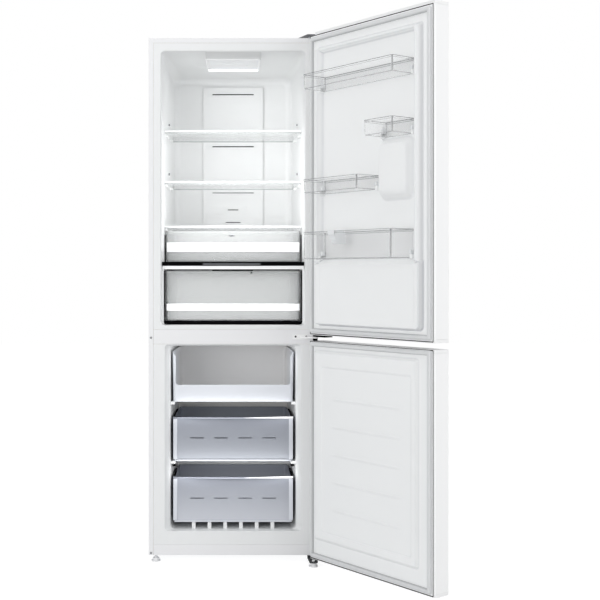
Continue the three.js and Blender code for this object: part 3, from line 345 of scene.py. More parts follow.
def rounded_rect(u0, u1, v0, v1, radius, steps=6):
    """Points round rounded rectangles: each corner is a quarter circle about a centre one radius in from
    both sides. The corners start at low u, low v and go round by way of high u. Every input may be an
    array, and a radius may have one value for each of the four corners in its last axis."""
    corner = np.repeat(np.arange(4), steps + 1)
    turn = np.radians(180 + 90 * corner + 90 * np.tile(np.linspace(0, 1, steps + 1), 4))
    u0, u1, v0, v1 = (np.asarray(side, float)[..., None] for side in (u0, u1, v0, v1))
    radius = np.asarray(radius, float)
    radius = radius[..., corner] if radius.ndim and radius.shape[-1] == 4 else radius[..., None]
    east, north = np.isin(corner, (1, 2)), np.isin(corner, (2, 3))
    u = np.where(east, u1 - radius, u0 + radius) + radius * np.cos(turn)
    v = np.where(north, v1 - radius, v0 + radius) + radius * np.sin(turn)
    return np.stack(np.broadcast_arrays(u, v), -1)


def grid_faces(rows, columns, closed_columns=True, closed_rows=False):
    """Four-cornered faces between the neighbouring points of a grid, which may close on itself either way."""
    i = np.arange(rows if closed_rows else rows - 1)[:, None]
    j = np.arange(columns if closed_columns else columns - 1)[None, :]
    up, right = (i + 1) % rows, (j + 1) % columns
    corners = [i * columns + j, i * columns + right, up * columns + right, up * columns + j]
    return np.stack(np.broadcast_arrays(*corners), -1).reshape(-1, 4)


def ring_solid(rings, edge=0.0):
    """A closed solid through a stack of rings, with flat end faces. `edge` marks its rims."""
    rows, columns = rings.shape[:2]
    first, last = np.arange(columns)[None, ::-1], np.arange((rows - 1) * columns, rows * columns)[None, :]
    blocks = [grid_faces(rows, columns), first, last]
    return rings.reshape(-1, 3), blocks, np.broadcast_to(edge, (rows, columns)).reshape(-1)


def swept_loop(rings, edge=0.0):
    """A closed bar that runs round: a row is a line of its cross-section, the last joins the first."""
    rows, columns = rings.shape[:2]
    blocks = [grid_faces(rows, columns, closed_rows=True)]
    return rings.reshape(-1, 3), blocks, np.broadcast_to(edge, (rows, columns)).reshape(-1)


def stacked(outline, along, axis):
    """Ring points [u, v] and their place along an axis, put in X, Y, Z order."""
    w = np.broadcast_to(np.asarray(along, float)[..., None], outline.shape[:-1])
    order = {"x": (w, outline[..., 0], outline[..., 1]), "y": (outline[..., 0], w, outline[..., 1])}
    return np.stack(order.get(axis, (outline[..., 0], outline[..., 1], w)), -1)


def soft_block(low, high, radius, corner=None, steps=3, axis="z"):
    """A block with every edge rounded: at each end the rings draw in along a quarter circle, by radius *
    (1 - sin) while they move along by radius * (1 - cos)."""
    low, high = np.array(low, float), np.array(high, float)
    u, v, w = {"x": (1, 2, 0), "y": (0, 2, 1), "z": (0, 1, 2)}[axis]
    angle = np.linspace(0, math.pi / 2, steps + 1)
    inset = radius * (1 - np.sin(angle))
    inset = np.concatenate([inset, inset[::-1]])
    along = radius * (1 - np.cos(angle))
    along = np.concatenate([low[w] + along, (high[w] - along)[::-1]])
    corner = max(corner if corner is not None else radius, radius * 1.02)
    outline = rounded_rect(low[u] + inset, high[u] - inset, low[v] + inset, high[v] - inset, corner - inset)
    return ring_solid(stacked(outline, along, axis))


def turned_solid(profile, centre, axis="z", sides=24):
    """A turned shape: each [radius, place] of its profile becomes a circle about an axis."""
    profile = np.array(profile, float)
    turn = np.linspace(0, 2 * math.pi, sides, endpoint=False)
    circle = np.stack([np.cos(turn), np.sin(turn)], -1)
    outline = np.maximum(profile[:, 0], 0.01)[:, None, None] * circle
    return moved(ring_solid(stacked(outline, profile[:, 1], axis)), centre)


def moved(surface, offset):
    """The same surface, shifted by an offset in the drawing."""
    return surface[0] + np.array(offset, float), *surface[1:]


def bent(surface, x_of):
    """The same surface with each point's X replaced by a function of X and Y, as on a leaning wall."""
    points = surface[0].copy()
    points[:, 0] = x_of(points[:, 0], points[:, 1])
    return points, *surface[1:]


def drawn_rows(rows, steps):
    """Rings along Y from rows of half width, low, high, corner radius and depth."""
    half, low, high, corner, depth = rows.T
    return ring_solid(stacked(rounded_rect(-half, half, low, high, corner, steps), depth, "y"))


def pair(low, high, reach, radius):
    """Two soft blocks, one on each side: `low` and `high` give the place of the block at X = 0."""
    return [soft_block((x + low[0], *low[1:]), (x + high[0], *high[1:]), radius) for x in (-reach, reach)]


print("ring of a unit square:", rounded_rect(0, 1, 0, 1, 0.1).shape, "points")

# %% [markdown]
# ## From drawing to object
#
# A piece may be made of many surfaces, but it is one mesh. Its faces are turned outwards, its shading is
# smooth except across edges sharper than the given angle, and a weighted normal keeps the large flat faces
# flat where they meet small arcs. The piece then rides on its body and stands for the plain node that it
# replaces.

# %% Pieces
made_pieces = []


def finished(mesh, name, finish, body, stands_for=(), sharp=40):
    """Puts a mesh into the scene as a piece, with its shading, its finish and the body it rides on."""
    mesh.polygons.foreach_set("use_smooth", np.ones(len(mesh.polygons), bool))
    mesh.set_sharp_from_angle(angle=math.radians(sharp))
    mesh.materials.clear()
    mesh.materials.append(finish)
    made = bpy.data.objects.new(name, mesh)
    scene.collection.objects.link(made)
    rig.ride(made, body)
    if stands_for:
        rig.replaces(made, *stands_for)
    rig.slot(made, finish["slot"])
    made_pieces.append(made)
    return made


def even_shading(made):
    """Weighted normals: large faces lead the shading of the vertices that they share with small ones."""
    shading = made.modifiers.new("even_shading", "WEIGHTED_NORMAL")
    shading.keep_sharp = True
    shading.weight = 60
    return made


def piece(name, surfaces, finish, body, stands_for=(), sharp=40, weighted=True):
    """One object from surfaces drawn in millimetres, with their faces turned outwards."""
    points, faces, edges, start = [], [], [], 0
    for surface_points, blocks, edge in surfaces:
        points.append(placed(surface_points, body))
        for block in blocks:
            faces += (block + start).tolist()
        edges.append(edge)
        start += len(surface_points)
    mesh = bpy.data.meshes.new(name)
    mesh.from_pydata(np.concatenate(points).tolist(), [], faces)
    marks = mesh.attributes.new("edge", "FLOAT", "POINT")
    marks.data.foreach_set("value", np.concatenate(edges).astype(np.float32))
    work = bmesh.new()
    work.from_mesh(mesh)
    bmesh.ops.recalc_face_normals(work, faces=work.faces)
    work.to_mesh(mesh)
    work.free()
    made = finished(mesh, name, finish, body, stands_for, sharp)
    return even_shading(made) if weighted else made


def softened(node, finish, radius, segments=2, sharp=35):
    """A copy of a plain node: triangles merged into flat faces, sharp edges rounded by a bevel."""
    source = frame["nodes"][node]
    mesh = source.data.copy()
    mesh.name = node + "_dressed"
    work = bmesh.new()
    work.from_mesh(mesh)
    bmesh.ops.remove_doubles(work, verts=work.verts, dist=2e-6)
    bmesh.ops.dissolve_limit(work, angle_limit=math.radians(1), verts=work.verts, edges=work.edges)
    work.to_mesh(mesh)
    work.free()
    made = finished(mesh, mesh.name, finish, source["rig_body"], (node,), sharp)
    bevel = made.modifiers.new("rounded_edges", "BEVEL")
    bevel.width = radius * MM
    bevel.segments = segments
    bevel.limit_method = "ANGLE"
    bevel.angle_limit = math.radians(sharp)
    bevel.use_clamp_overlap = True
    return even_shading(made)


print("pieces can be made")

# %% [markdown]
# ## Finishes
#
# White isn't one finish. The painted steel is smooth with a very fine orange peel, the formed liner is a
# little greyer and softer in its shine, trims are clean glossy mouldings, and the seals are matt. Each
# finish here is one shader: slow noise shifts its colour and roughness by a few hundredths, and fine noise
# moves its surface by microns, so that a reflection breaks up as it does on the real thing.

# %% Opaque finishes
def linear(levels):
    """Eight-bit display levels to the linear values that a shader takes."""
    c = np.array(levels, float) / 255
    return np.where(c <= 0.04045, c / 12.92, ((c + 0.055) / 1.055) ** 2.4)


def noise(tree, coordinates, scale, detail=3.0):
    """A noise texture on the object's own coordinates; `scale` is the number of lumps in a metre."""
    texture = tree.nodes.new("ShaderNodeTexNoise")
    texture.inputs["Scale"].default_value = scale
    texture.inputs["Detail"].default_value = detail
    tree.links.new(coordinates, texture.inputs["Vector"])
    return texture.outputs["Fac"]


def ranged(tree, value, low, high, source=(0.3, 0.7)):
    """A value stretched from its usual span to lie between low and high."""
    stretch = tree.nodes.new("ShaderNodeMapRange")
    stretch.inputs["From Min"].default_value, stretch.inputs["From Max"].default_value = source
    stretch.inputs["To Min"].default_value, stretch.inputs["To Max"].default_value = low, high
    tree.links.new(value, stretch.inputs["Value"])
    return stretch.outputs["Result"]


def blended(tree, factor, first, second):
    """A colour between two others by a factor; each colour is a triple or a socket."""
    mix = tree.nodes.new("ShaderNodeMix")
    mix.data_type = "RGBA"
    tree.links.new(factor, mix.inputs["Factor"])
    for socket, color in ((mix.inputs["A"], first), (mix.inputs["B"], second)):
        if isinstance(color, bpy.types.NodeSocket):
            tree.links.new(color, socket)
        else:
            socket.default_value = (*color, 1)
    return mix.outputs["Result"]


def surface_finish(slot, levels, roughness, grain=900, depth=0.00002, mottle=0.02, metallic=0.0, name=None):
    """The start of every finish: a principled shader with mottled colour, uneven gloss and a fine bump."""
    material = bpy.data.materials.new(name or slot)
    material["slot"] = slot
    material.use_nodes = True
    tree = material.node_tree
    shader = tree.nodes["Principled BSDF"]
    coordinates = tree.nodes.new("ShaderNodeTexCoord").outputs["Object"]
    slow = noise(tree, coordinates, 7, 2)
    color = linear(levels)
    mixed = blended(tree, slow, color * (1 - mottle), np.minimum(color * (1 + mottle), 1))
    tree.links.new(mixed, shader.inputs["Base Color"])
    gloss = ranged(tree, noise(tree, coordinates, 38), roughness * 0.97, roughness * 1.03)
    tree.links.new(gloss, shader.inputs["Roughness"])
    bump = tree.nodes.new("ShaderNodeBump")
    bump.inputs["Distance"].default_value = depth
    tree.links.new(noise(tree, coordinates, grain), bump.inputs["Height"])
    tree.links.new(bump.outputs["Normal"], shader.inputs["Normal"])
    shader.inputs["Metallic"].default_value = metallic
    return material, tree, shader, mixed


def opaque(slot, levels, roughness, **detail):
    """A finish that needs no more than its surface."""
    return surface_finish(slot, levels, roughness, **detail)[0]


def edge_marks(tree):
    """The mesh's own attribute that says how strongly each point shows as a rim, a bend or a fold."""
    marks = tree.nodes.new("ShaderNodeAttribute")
    marks.attribute_name = "edge"
    return marks.outputs["Fac"]


def painted_shade_finish(slot, levels, shade_levels, roughness, **detail):
    """A finish with painted shade: a little grey at the marks, in folds and creases."""
    material, tree, shader, mixed = surface_finish(slot, levels, roughness, **detail)
    shaded = blended(tree, edge_marks(tree), mixed, linear(shade_levels))
    tree.links.new(shaded, shader.inputs["Base Color"])
    return material


def black_finish(name, levels, roughness, specular):
    """A deep black moulding: it sends back less light, so it stays black in white surroundings."""
    material, _, shader, _ = surface_finish("black_plastic", levels, roughness, mottle=0.1, name=name)
    shader.inputs["Specular IOR Level"].default_value = specular
    return material


white_steel = opaque("white_steel", (252, 252, 252), 0.3, grain=700, depth=0.000004, mottle=0.008)
# Painted shade: the cabinet's steel is a darker copy of the doors' white paint.
cabinet_steel = opaque("white_steel", (241, 241, 242), 0.3, grain=700, depth=0.000004, mottle=0.008,
                       name="cabinet_steel")
white_caps = opaque("white_caps", (248, 248, 248), 0.42, grain=1500, mottle=0.008)
liner_plastic = opaque("liner_plastic", (239, 240, 240), 0.4, grain=500, depth=0.00002, mottle=0.012)
# Painted light: the freezer's back panel takes a lighter, warmer copy of the liner's plastic.
back_plastic = opaque("liner_plastic", (253, 251, 247), 0.45, grain=500, mottle=0.01, name="back_plastic")
white_trim = opaque("white_trim", (250, 250, 251), 0.3, grain=1200, mottle=0.006)
# Painted shadow: a dark strip for the shaded groove at each door's seam.
seam_shadow = opaque("seal_rubber", (38, 38, 41), 0.8, grain=1600, mottle=0.05, name="seam_sealant")
foam = opaque("foam", (226, 208, 158), 0.95, grain=420, depth=0.0006, mottle=0.08)
black_plastic = opaque("black_plastic", (9, 9, 10), 0.36, grain=1100, depth=0.00002, mottle=0.1)
# Used for real black mouldings and also for black plates of painted shadow in gaps, outlets and on tub rims.
matt_black = black_finish("frame_black", (2, 2, 3), roughness=0.7, specular=0.04)
grey_plastic = opaque("dark_plastic", (150, 151, 153), 0.5, grain=1100, mottle=0.04, name="grey_plastic")
lamp_panel = opaque("white_trim", (246, 247, 248), 0.45, grain=1200, mottle=0.01, name="lamp_panel")
dark_plastic = opaque("dark_plastic", (92, 94, 97), 0.5, grain=1400, depth=0.00006, mottle=0.05)
zinc_steel = opaque("zinc_steel", (176, 180, 184), 0.42, grain=60, depth=0.00003, mottle=0.1, metallic=1.0)
black_steel = opaque("black_steel", (24, 25, 26), 0.45, grain=300, depth=0.0001, mottle=0.12)
dark_steel = opaque("dark_steel", (58, 59, 62), 0.5, grain=500, depth=0.00005, mottle=0.08, metallic=0.6)
fins = opaque("fins", (200, 203, 205), 0.35, grain=250, depth=0.00004, mottle=0.06, metallic=1.0)
print("opaque finishes:", len(bpy.data.materials))

# %% [markdown]
# ## Clear and frosted plastic
#
# A clear moulding is seen mostly by its edges. Where the eye looks along a wall, at its rim and round its
# corners, light comes from far away inside the plastic and looks darker; across the wall it passes almost
# unchanged. Full refraction of thin double walls needs many light paths, so here a wall lets light straight
# through and takes its opacity from two things: an attribute on the mesh that marks rims and corners, and
# how steeply the wall is seen.

# %% Clear finishes
def clear_finish(slot, levels, rim_levels, opacity, rim_opacity, roughness, steep=0.25, name=None, **detail):
    """A see-through finish whose opacity rises with the edge attribute and with Fresnel."""
    material, tree, shader, _ = surface_finish(slot, levels, roughness, name=name, **detail)
    marks = edge_marks(tree)
    tree.links.new(blended(tree, marks, linear(levels), linear(rim_levels)), shader.inputs["Base Color"])
    by_edge = ranged(tree, marks, opacity, rim_opacity, source=(0.0, 1.0))
    facing = tree.nodes.new("ShaderNodeLayerWeight")
    facing.inputs["Blend"].default_value = 0.3
    by_angle = ranged(tree, facing.outputs["Fresnel"], 0.0, steep, source=(0.1, 1.0))
    total = tree.nodes.new("ShaderNodeMath")
    total.operation = "ADD"
    total.use_clamp = True
    tree.links.new(by_edge, total.inputs[0])
    tree.links.new(by_angle, total.inputs[1])
    tree.links.new(total.outputs[0], shader.inputs["Alpha"])
    return material


clear_plastic = clear_finish(
    "clear_plastic", levels=(244, 246, 248), rim_levels=(40, 43, 46), opacity=0.006, rim_opacity=0.95,
    roughness=0.12, steep=0.03, grain=300, depth=0.00001
)
milky_plastic = opaque("clear_plastic", (240, 242, 243), 0.25, grain=700, mottle=0.01, name="milky_plastic")
drawer_plastic = clear_finish(
    "clear_plastic", levels=(226, 228, 228), rim_levels=(208, 210, 210), opacity=0.28, rim_opacity=0.5,
    roughness=0.16, name="drawer_plastic", grain=300, depth=0.00001
)
shelf_glass = clear_finish(
    "shelf_glass", levels=(226, 232, 230), rim_levels=(150, 178, 168), opacity=0.03, rim_opacity=0.8,
    roughness=0.05, steep=0.1, grain=20, depth=0.0000003
)
glass_edge = opaque("shelf_glass", (150, 158, 156), 0.2, grain=600, mottle=0.03, name="glass_edge")


def lamp_finish(level):
    """The lamp's milky lens: a glossy white that gives off a little light of its own."""
    material, tree, shader, mixed = surface_finish("lamp_lens", (250, 252, 255), 0.25, mottle=0.004)
    tree.links.new(mixed, shader.inputs["Emission Color"])
    shader.inputs["Emission Strength"].default_value = level
    return material


lamp_lens = lamp_finish(level=0.8)
print("clear finishes made; all finishes:", len(bpy.data.materials))

# %% [markdown]
# ## The hard pieces that keep their drawn shape
#
# Most rigid pieces are drawn right already and only have razor edges. A real edge catches a thin line of
# light, so each of these gets a copy with its edges rounded by what its maker would give it: half a
# millimetre on sheet steel, one or two on mouldings. The pieces that nobody sees edge-on keep their plain
# mesh and get a finish only. So does the vented compressor cover, whose many slots leave no room for a
# bevel.

# %% Rounded copies
ROUNDED = {
    "cabinet_wrapper": (cabinet_steel, 0.4),
    "cross_beam": (cabinet_steel, 0.7),
    "base_rail": (cabinet_steel, 0.7),
    "upper_door_skin": (white_steel, 0.3),
    "lower_door_skin": (white_steel, 0.3),
    "upper_door_top_cap": (white_caps, 1.4),
    "upper_door_bottom_cap": (white_caps, 1.4),
    "lower_door_top_cap": (white_caps, 1.4),
    "lower_door_bottom_cap": (white_caps, 1.4),
    "freezer_back_panel": (back_plastic, 0.9),
    "air_duct_panel": (liner_plastic, 1.1),
    "lamp_diffuser": (lamp_lens, 1.8),
    "crisper_cover": (white_trim, 1.0),
    "top_hinge": (zinc_steel, 0.5),
    "top_hinge_cover": (dark_plastic, 0.9),
    "middle_hinge": (white_steel, 0.9),
    "bottom_hinge": (dark_steel, 0.7),
    "left_foot": (white_trim, 1.0),
    "right_foot": (white_trim, 1.0),
    "left_roller": (dark_plastic, 1.2),
    "right_roller": (dark_plastic, 1.2),
    "evaporator_fan": (dark_plastic, 0.3),
    "compressor": (black_steel, 2.0),
    "drip_tray": (dark_plastic, 0.8),
    "back_panel": (zinc_steel, 0.4),
    "compressor_tray": (zinc_steel, 0.4),
    "bottle_holder": (milky_plastic, 0.5),
}
SHELF_NAMES = ("shelf_1", "shelf_2", "shelf_3")
for level in SHELF_NAMES:
    ROUNDED[level + "_glass"] = (shelf_glass, 0.8)
for node, (finish, radius) in ROUNDED.items():
    softened(node, finish, radius)

PLAIN = {
    "insulation_foam": foam,
    "upper_door_foam": foam,
    "lower_door_foam": foam,
    "floor_pan": zinc_steel,
    "compressor_cover": zinc_steel,
    "evaporator_coil": fins,
}
for node, finish in PLAIN.items():
    mesh = frame["nodes"][node].data
    mesh.materials.clear()
    mesh.materials.append(finish)
print("rounded copies:", len(ROUNDED), "- plain nodes with a finish:", len(PLAIN))

# %% [markdown]
# ## Fridge liner
#
# The liner is one sheet of polystyrene, drawn hot into a mould. So its mouth rolls in from a flat flange,
# its walls lean towards each other to come off the mould, its corners open towards the back where the sheet
# is stretched most, and a wide fillet joins the walls to the back. All of that is one stack of rings: out
# round the pocket, over the flange, in over the rolled mouth and back along the walls.

# %% The pocket and its flange
FRIDGE_MOUTH, FRIDGE_BACK, FRIDGE_DEPTH = 254.0, 228.0, 445.0
FRIDGE_FLOOR, FRIDGE_CEILING, CEILING_FALL = 836.5, 1800.5, 19.5
LINER_WALL = 2.5
flange_low, flange_high = measured("fridge_liner")


def fridge_half(y):
    """Half the fridge's inside width at a depth: it narrows evenly from mouth to back."""
    return FRIDGE_MOUTH + (FRIDGE_BACK - FRIDGE_MOUTH) * np.asarray(y, float) / FRIDGE_DEPTH


def ceiling_at(y):
    """Height of the fridge's ceiling at a depth: it falls evenly towards the back."""
    return FRIDGE_CEILING - CEILING_FALL * np.asarray(y, float) / FRIDGE_DEPTH


def pocket_rows(y, inset, grow):
    """Half width, low, high, corner radius and depth of rings, drawn in by inset and out by grow."""
    corner = 14 + 22 * y / FRIDGE_DEPTH
    half = fridge_half(y) - inset + grow
    low = np.full_like(y, FRIDGE_FLOOR) + inset - grow
    high = ceiling_at(y) - inset + grow
    return np.stack([half, low, high, np.maximum(corner - inset + grow, 3), y], -1)


def flange_rows(low, high):
    """The flat flange round a mouth: its back, and its face with an edge broken by 0.4 mm."""
    half, front, bottom, top = high[0], low[1], low[2], high[2]
    return np.array([[half, bottom, top, 2, 2.8], [half, bottom, top, 2, front + 0.4],
                     [half - 0.4, bottom + 0.4, top - 0.4, 2, front]])


def fridge_rings(roll=9.0, out=4.0, fillet=26.0):
    """Rows of the whole liner: its mouth is a quarter ellipse and its back edge a round fillet."""
    bend = np.linspace(0, math.pi / 2, 7)
    wall = np.linspace(roll, FRIDGE_DEPTH - fillet, 9)
    back_y = FRIDGE_DEPTH - fillet + fillet * np.sin(bend[1:])
    back_inset = fillet * (1 - np.cos(bend[1:]))
    y_in = np.concatenate([wall, back_y])
    inset = np.concatenate([np.zeros_like(wall), back_inset])
    inner = pocket_rows(y_in, inset, 0.0)
    outer = pocket_rows(y_in, inset, LINER_WALL)[::-1].copy()
    outer[:, 4] += LINER_WALL * (outer[:, 4] > FRIDGE_DEPTH - fillet)
    mouth = pocket_rows(roll * (1 - np.cos(bend[:-1])), -out * (1 - np.sin(bend[:-1])), 0.0)
    mouth[:, 4] += flange_low[1]
    return np.concatenate([outer, flange_rows(flange_low, flange_high), mouth, inner])


rows = fridge_rings()
pocket = drawn_rows(rows, 8)
print("fridge liner:", len(rows), "rings,", len(pocket[0]), "points")

# %% [markdown]
# The rests on its side walls follow the walls' lean. Each is drawn as a soft block against a wall that is
# straight, and then every point is moved to its distance from the real wall.

# %% Shelf rests
SHELVES = [measured(level + "_glass") for level in SHELF_NAMES]
cover_low, cover_high = measured("crisper_cover")


def wall_rest(side, y0, y1, z0, z1, reach, radius=2.5):
    """A soft block on a side wall: its X is the distance from the wall at each point's own depth."""
    return bent(soft_block((-2.0, y0, z0), (reach, y1, z1), radius), lambda x, y: side * (fridge_half(y) - x))


rests = []
for side in (-1, 1):
    for low, high in SHELVES:
        rests.append(wall_rest(side, low[1] + 50, low[1] + 92, low[2] - 10.3, low[2] - 0.4, reach=7))
        rests.append(wall_rest(side, high[1] - 64, high[1] - 22, low[2] - 10.3, low[2] - 0.4, reach=7))
    rests.append(wall_rest(side, 40, cover_high[1] - 20, cover_high[2] - 12.3, cover_high[2] - 4.4, reach=8))
    for low, high in SHELVES[:2]:
        rests.append(wall_rest(side, 228, 254, low[2] + 40, low[2] + 51, reach=6, radius=3))
piece("fridge_liner_dressed", [pocket, *rests], liner_plastic, "cabinet", ["fridge_liner"])
print("shelf rests:", len(rests))

# %% [markdown]
# ## Freezer liner
#
# The freezer's liner is the same kind of sheet with a flared mouth, so that food doesn't catch on an edge,
# and with a step at the back where the compressor stands below. The step is one more jump in the stack: at
# one depth the ring's lower side rises, which leaves a flat face between the two rings. Ledges on the walls
# carry the tubs.

# %% The freezer's pocket
FREEZER_MOUTH, FREEZER_FRONT, FREEZER_BACK = 240.0, 222.0, 208.0
FLARE_DEPTH, FREEZER_DEPTH = 28.0, 430.0
STEP_DEPTH, STEP_HEIGHT = 302.0, 310.0
freezer_low, freezer_high = measured("freezer_liner")
FREEZER_FLOOR = measured("freezer_drawer_lower")[0][2] - 24.0
FREEZER_CEILING = measured("freezer_basket")[1][2] + 22.0


def freezer_half(y):
    """Half the freezer's inside width at a depth behind its flared mouth: it narrows evenly."""
    y = np.asarray(y, float)
    return FREEZER_FRONT + (FREEZER_BACK - FREEZER_FRONT) * (y - FLARE_DEPTH) / (FREEZER_DEPTH - FLARE_DEPTH)


def freezer_rows(depth, inset, floor):
    """Half width, low, high, corner radius and depth of rings drawn in from the freezer's walls."""
    depth, inset = np.asarray(depth, float), np.asarray(inset, float)
    corner = np.full_like(depth, 17.0)
    half, ceiling = freezer_half(depth) - inset, FREEZER_CEILING - inset
    return np.stack([half, floor + 0 * depth, ceiling, corner, depth], -1)


def freezer_rings(fillet=14.0):
    """Rows of the liner: round the pocket, over the flange, in along the flare and up the step."""
    bend = np.linspace(0, math.pi / 2, 6)
    draw_in, run_in = fillet * (1 - np.cos(bend)), fillet * np.sin(bend)
    front, floor, ceiling = freezer_low[1], FREEZER_FLOOR, FREEZER_CEILING
    mouth = np.array([
        [FREEZER_MOUTH + 2.0, floor - 3.0, ceiling + 7.0, 10, front],
        [FREEZER_MOUTH + 0.6, floor - 1.8, ceiling + 5.6, 10, front + 0.6],
        [FREEZER_MOUTH - 0.6, floor - 1.0, ceiling + 4.6, 11, front + 2.2],
        [FREEZER_FRONT + 2.6, floor, ceiling + 0.9, 16, FLARE_DEPTH - 4],
        [FREEZER_FRONT + 0.5, floor, ceiling + 0.1, 17, FLARE_DEPTH + 1],
    ])
    along = freezer_rows(np.concatenate([[40, 160], STEP_DEPTH - fillet + run_in]), np.zeros(8),
                         floor + np.concatenate([[0, 0], draw_in]))
    step_floor = STEP_HEIGHT - np.array([6, 1.6, 0])
    step = freezer_rows(STEP_DEPTH + np.array([0.1, 1.5, 6]), np.zeros(3), step_floor)
    rear = freezer_rows(FREEZER_DEPTH - fillet + run_in, draw_in, STEP_HEIGHT + draw_in)
    inner = np.concatenate([along, step, rear])
    outer = inner[::-1] + LINER_WALL * np.array([1, -1, 1, 1, 0])
    outer[:, 4] += LINER_WALL * (outer[:, 4] > STEP_DEPTH - 1)
    return np.concatenate([outer, flange_rows(freezer_low, freezer_high), mouth, inner])


rows = freezer_rings()
freezer_pocket = drawn_rows(rows, 7)


def ledge(side, tub, gap):
    """A ledge on a freezer wall under one tub: a soft block whose points follow the wall's lean."""
    low, high = measured(tub)
    block = soft_block((-2.0, FLARE_DEPTH + 12, low[2] - 11.3), (gap + 8, high[1] - 5, low[2] - 0.3), 2)
    return bent(block, lambda x, y: side * (freezer_half(y) - x))


LEDGE_GAPS = {"freezer_drawer_upper": 8, "freezer_basket": 6}
ledges = [ledge(side, tub, gap) for side in (-1, 1) for tub, gap in LEDGE_GAPS.items()]
RIB_TOP = measured("freezer_drawer_lower")[0][2] - 0.3
RIB_COUNT, RIB_PITCH = 6, 56.0
ribs = [soft_block((x - 6.5, 36, FREEZER_FLOOR - 1), (x + 6.5, STEP_DEPTH - 10, RIB_TOP), 1.5)
        for x in RIB_PITCH * (np.arange(RIB_COUNT) - (RIB_COUNT - 1) / 2)]
piece("freezer_liner_dressed", [freezer_pocket, *ledges, *ribs], liner_plastic, "cabinet", ["freezer_liner"])
print("freezer floor", round(FREEZER_FLOOR, 1), "ceiling", round(FREEZER_CEILING, 1), "rings", len(rows))

# %% [markdown]
# ## Door liners
#
# A door liner is also one formed sheet, but shallow, so its shape is a height over a plane. Each dyke,
# panel and bulge is a rounded rectangle whose edge is a smooth slope. The height at a point comes from its
# distance to that outline, and where features meet, the taller one wins. The grid has close lines only
# where something changes.

# %% Heights from outlines
DOOR_HALF, DOOR_FACE = cabinet_high[0], -10.0
SHEET_ENDS = (9.3, 585.7)  # how far from the hinge side a liner begins and ends


def raised(s, z, bounds, height, slope, corner=10.0, top_slope=None):
    """Height of a raised panel. The distance to its outline is that of a rounded rectangle, the slope
    rises over a given width with a smooth step, and its upper side may be a straight ramp, gentler than
    the rest."""
    s0, s1, z0, z1 = bounds
    across = np.abs(s - (s0 + s1) / 2) - ((s1 - s0) / 2 - corner)
    up = np.abs(z - (z0 + z1) / 2) - ((z1 - z0) / 2 - corner)
    beyond = np.hypot(np.maximum(across, 0), np.maximum(up, 0))
    outside = beyond + np.minimum(np.maximum(across, up), 0) - corner
    rise = np.clip(-outside / slope, 0, 1)
    rise = rise * rise * (3 - 2 * rise)
    if top_slope:
        rise = np.minimum(rise, np.clip((z1 - z) / top_slope, 0, 1))
    return height * rise


def fine_lines(low, high, edges, reach, coarse=11.0, fine=1.7):
    """Places of grid lines: evenly apart, and closer within reach of each given edge."""
    close = [np.arange(edge - reach, edge + reach, fine) for edge in edges]
    lines = np.concatenate([np.linspace(low, high, int((high - low) / coarse)), *close])
    lines = np.unique(np.clip(lines, low, high).round(2))
    return lines[np.concatenate([[True], np.diff(lines) > 0.5])]


def creased(s, z, height, tightest=0.8):
    """How strongly each grid point is marked with painted shade: by how fast the slope changes, at the foot of a wall
    and half as much along its top edge."""
    rise_z, rise_s = np.gradient(height, z, s)
    bend = np.gradient(rise_z, z, axis=0) + np.gradient(rise_s, s, axis=1)
    return np.clip(np.maximum(bend, -bend / 2) / tightest, 0, 1)


def formed_sheet(s, z, height_at):
    """A closed plate: a grid of heights, a skirt round its border and a fan of triangles behind it."""
    columns, total = len(s), len(s) * len(z)
    grid_s, grid_z = np.meshgrid(s, z)
    height = height_at(grid_s, grid_z)
    marks = creased(s, z, height).reshape(-1)
    front = np.stack([DOOR_HALF - grid_s, DOOR_FACE + height, grid_z], -1).reshape(-1, 3)
    index = np.arange(total).reshape(len(z), columns)
    border = np.concatenate([index[0, :-1], index[:-1, -1], index[-1, :0:-1], index[:0:-1, 0]])
    behind = front[border].copy()
    behind[:, 1] = DOOR_FACE - LINER_WALL
    middle = behind.mean(0)[None]
    here = np.arange(len(border))
    after = (here + 1) % len(border)
    skirt = np.stack([border, border[after], total + after, total + here], -1)
    fan = np.stack([total + here, total + after, np.full_like(here, total + len(border))], -1)
    points = np.concatenate([front, behind, middle])
    marks = np.concatenate([marks, np.zeros(len(points) - total)])
    return points, [grid_faces(len(z), columns, False), skirt, fan], marks


# Painted light and shade: the door liners take a lighter copy of the liner's white, and painted shade at the marks
# along the feet and tops of their walls.
door_liner_plastic = painted_shade_finish(
    "liner_plastic", (252, 253, 253), (218, 219, 222), 0.4, grain=500, mottle=0.008, name="door_liner_plastic"
)
print("door face lies", DOOR_FACE, "mm in front of the cabinet")

# %% [markdown]
# The upper liner has a dyke down each side, which holds the bins between them, a bar across the top, a deep
# panel at the bottom with a sloping ledge, and a bulge between the egg and jar bins. Each bin hangs on two
# small lugs.

# %% Upper door liner
BINS = {name: measured(name) for name in ("top_bin", "egg_bin", "jar_bin", "bottle_bin")}
upper_low, upper_high = measured("upper_door_liner")
DYKE_LOW, DYKE_HIGH = upper_low[2] + 24, upper_high[2] - 46
DYKE_FOOT, PANEL_TOP = 1046, 1068
HINGE_SIDE, FREE_SIDE = 40, 547


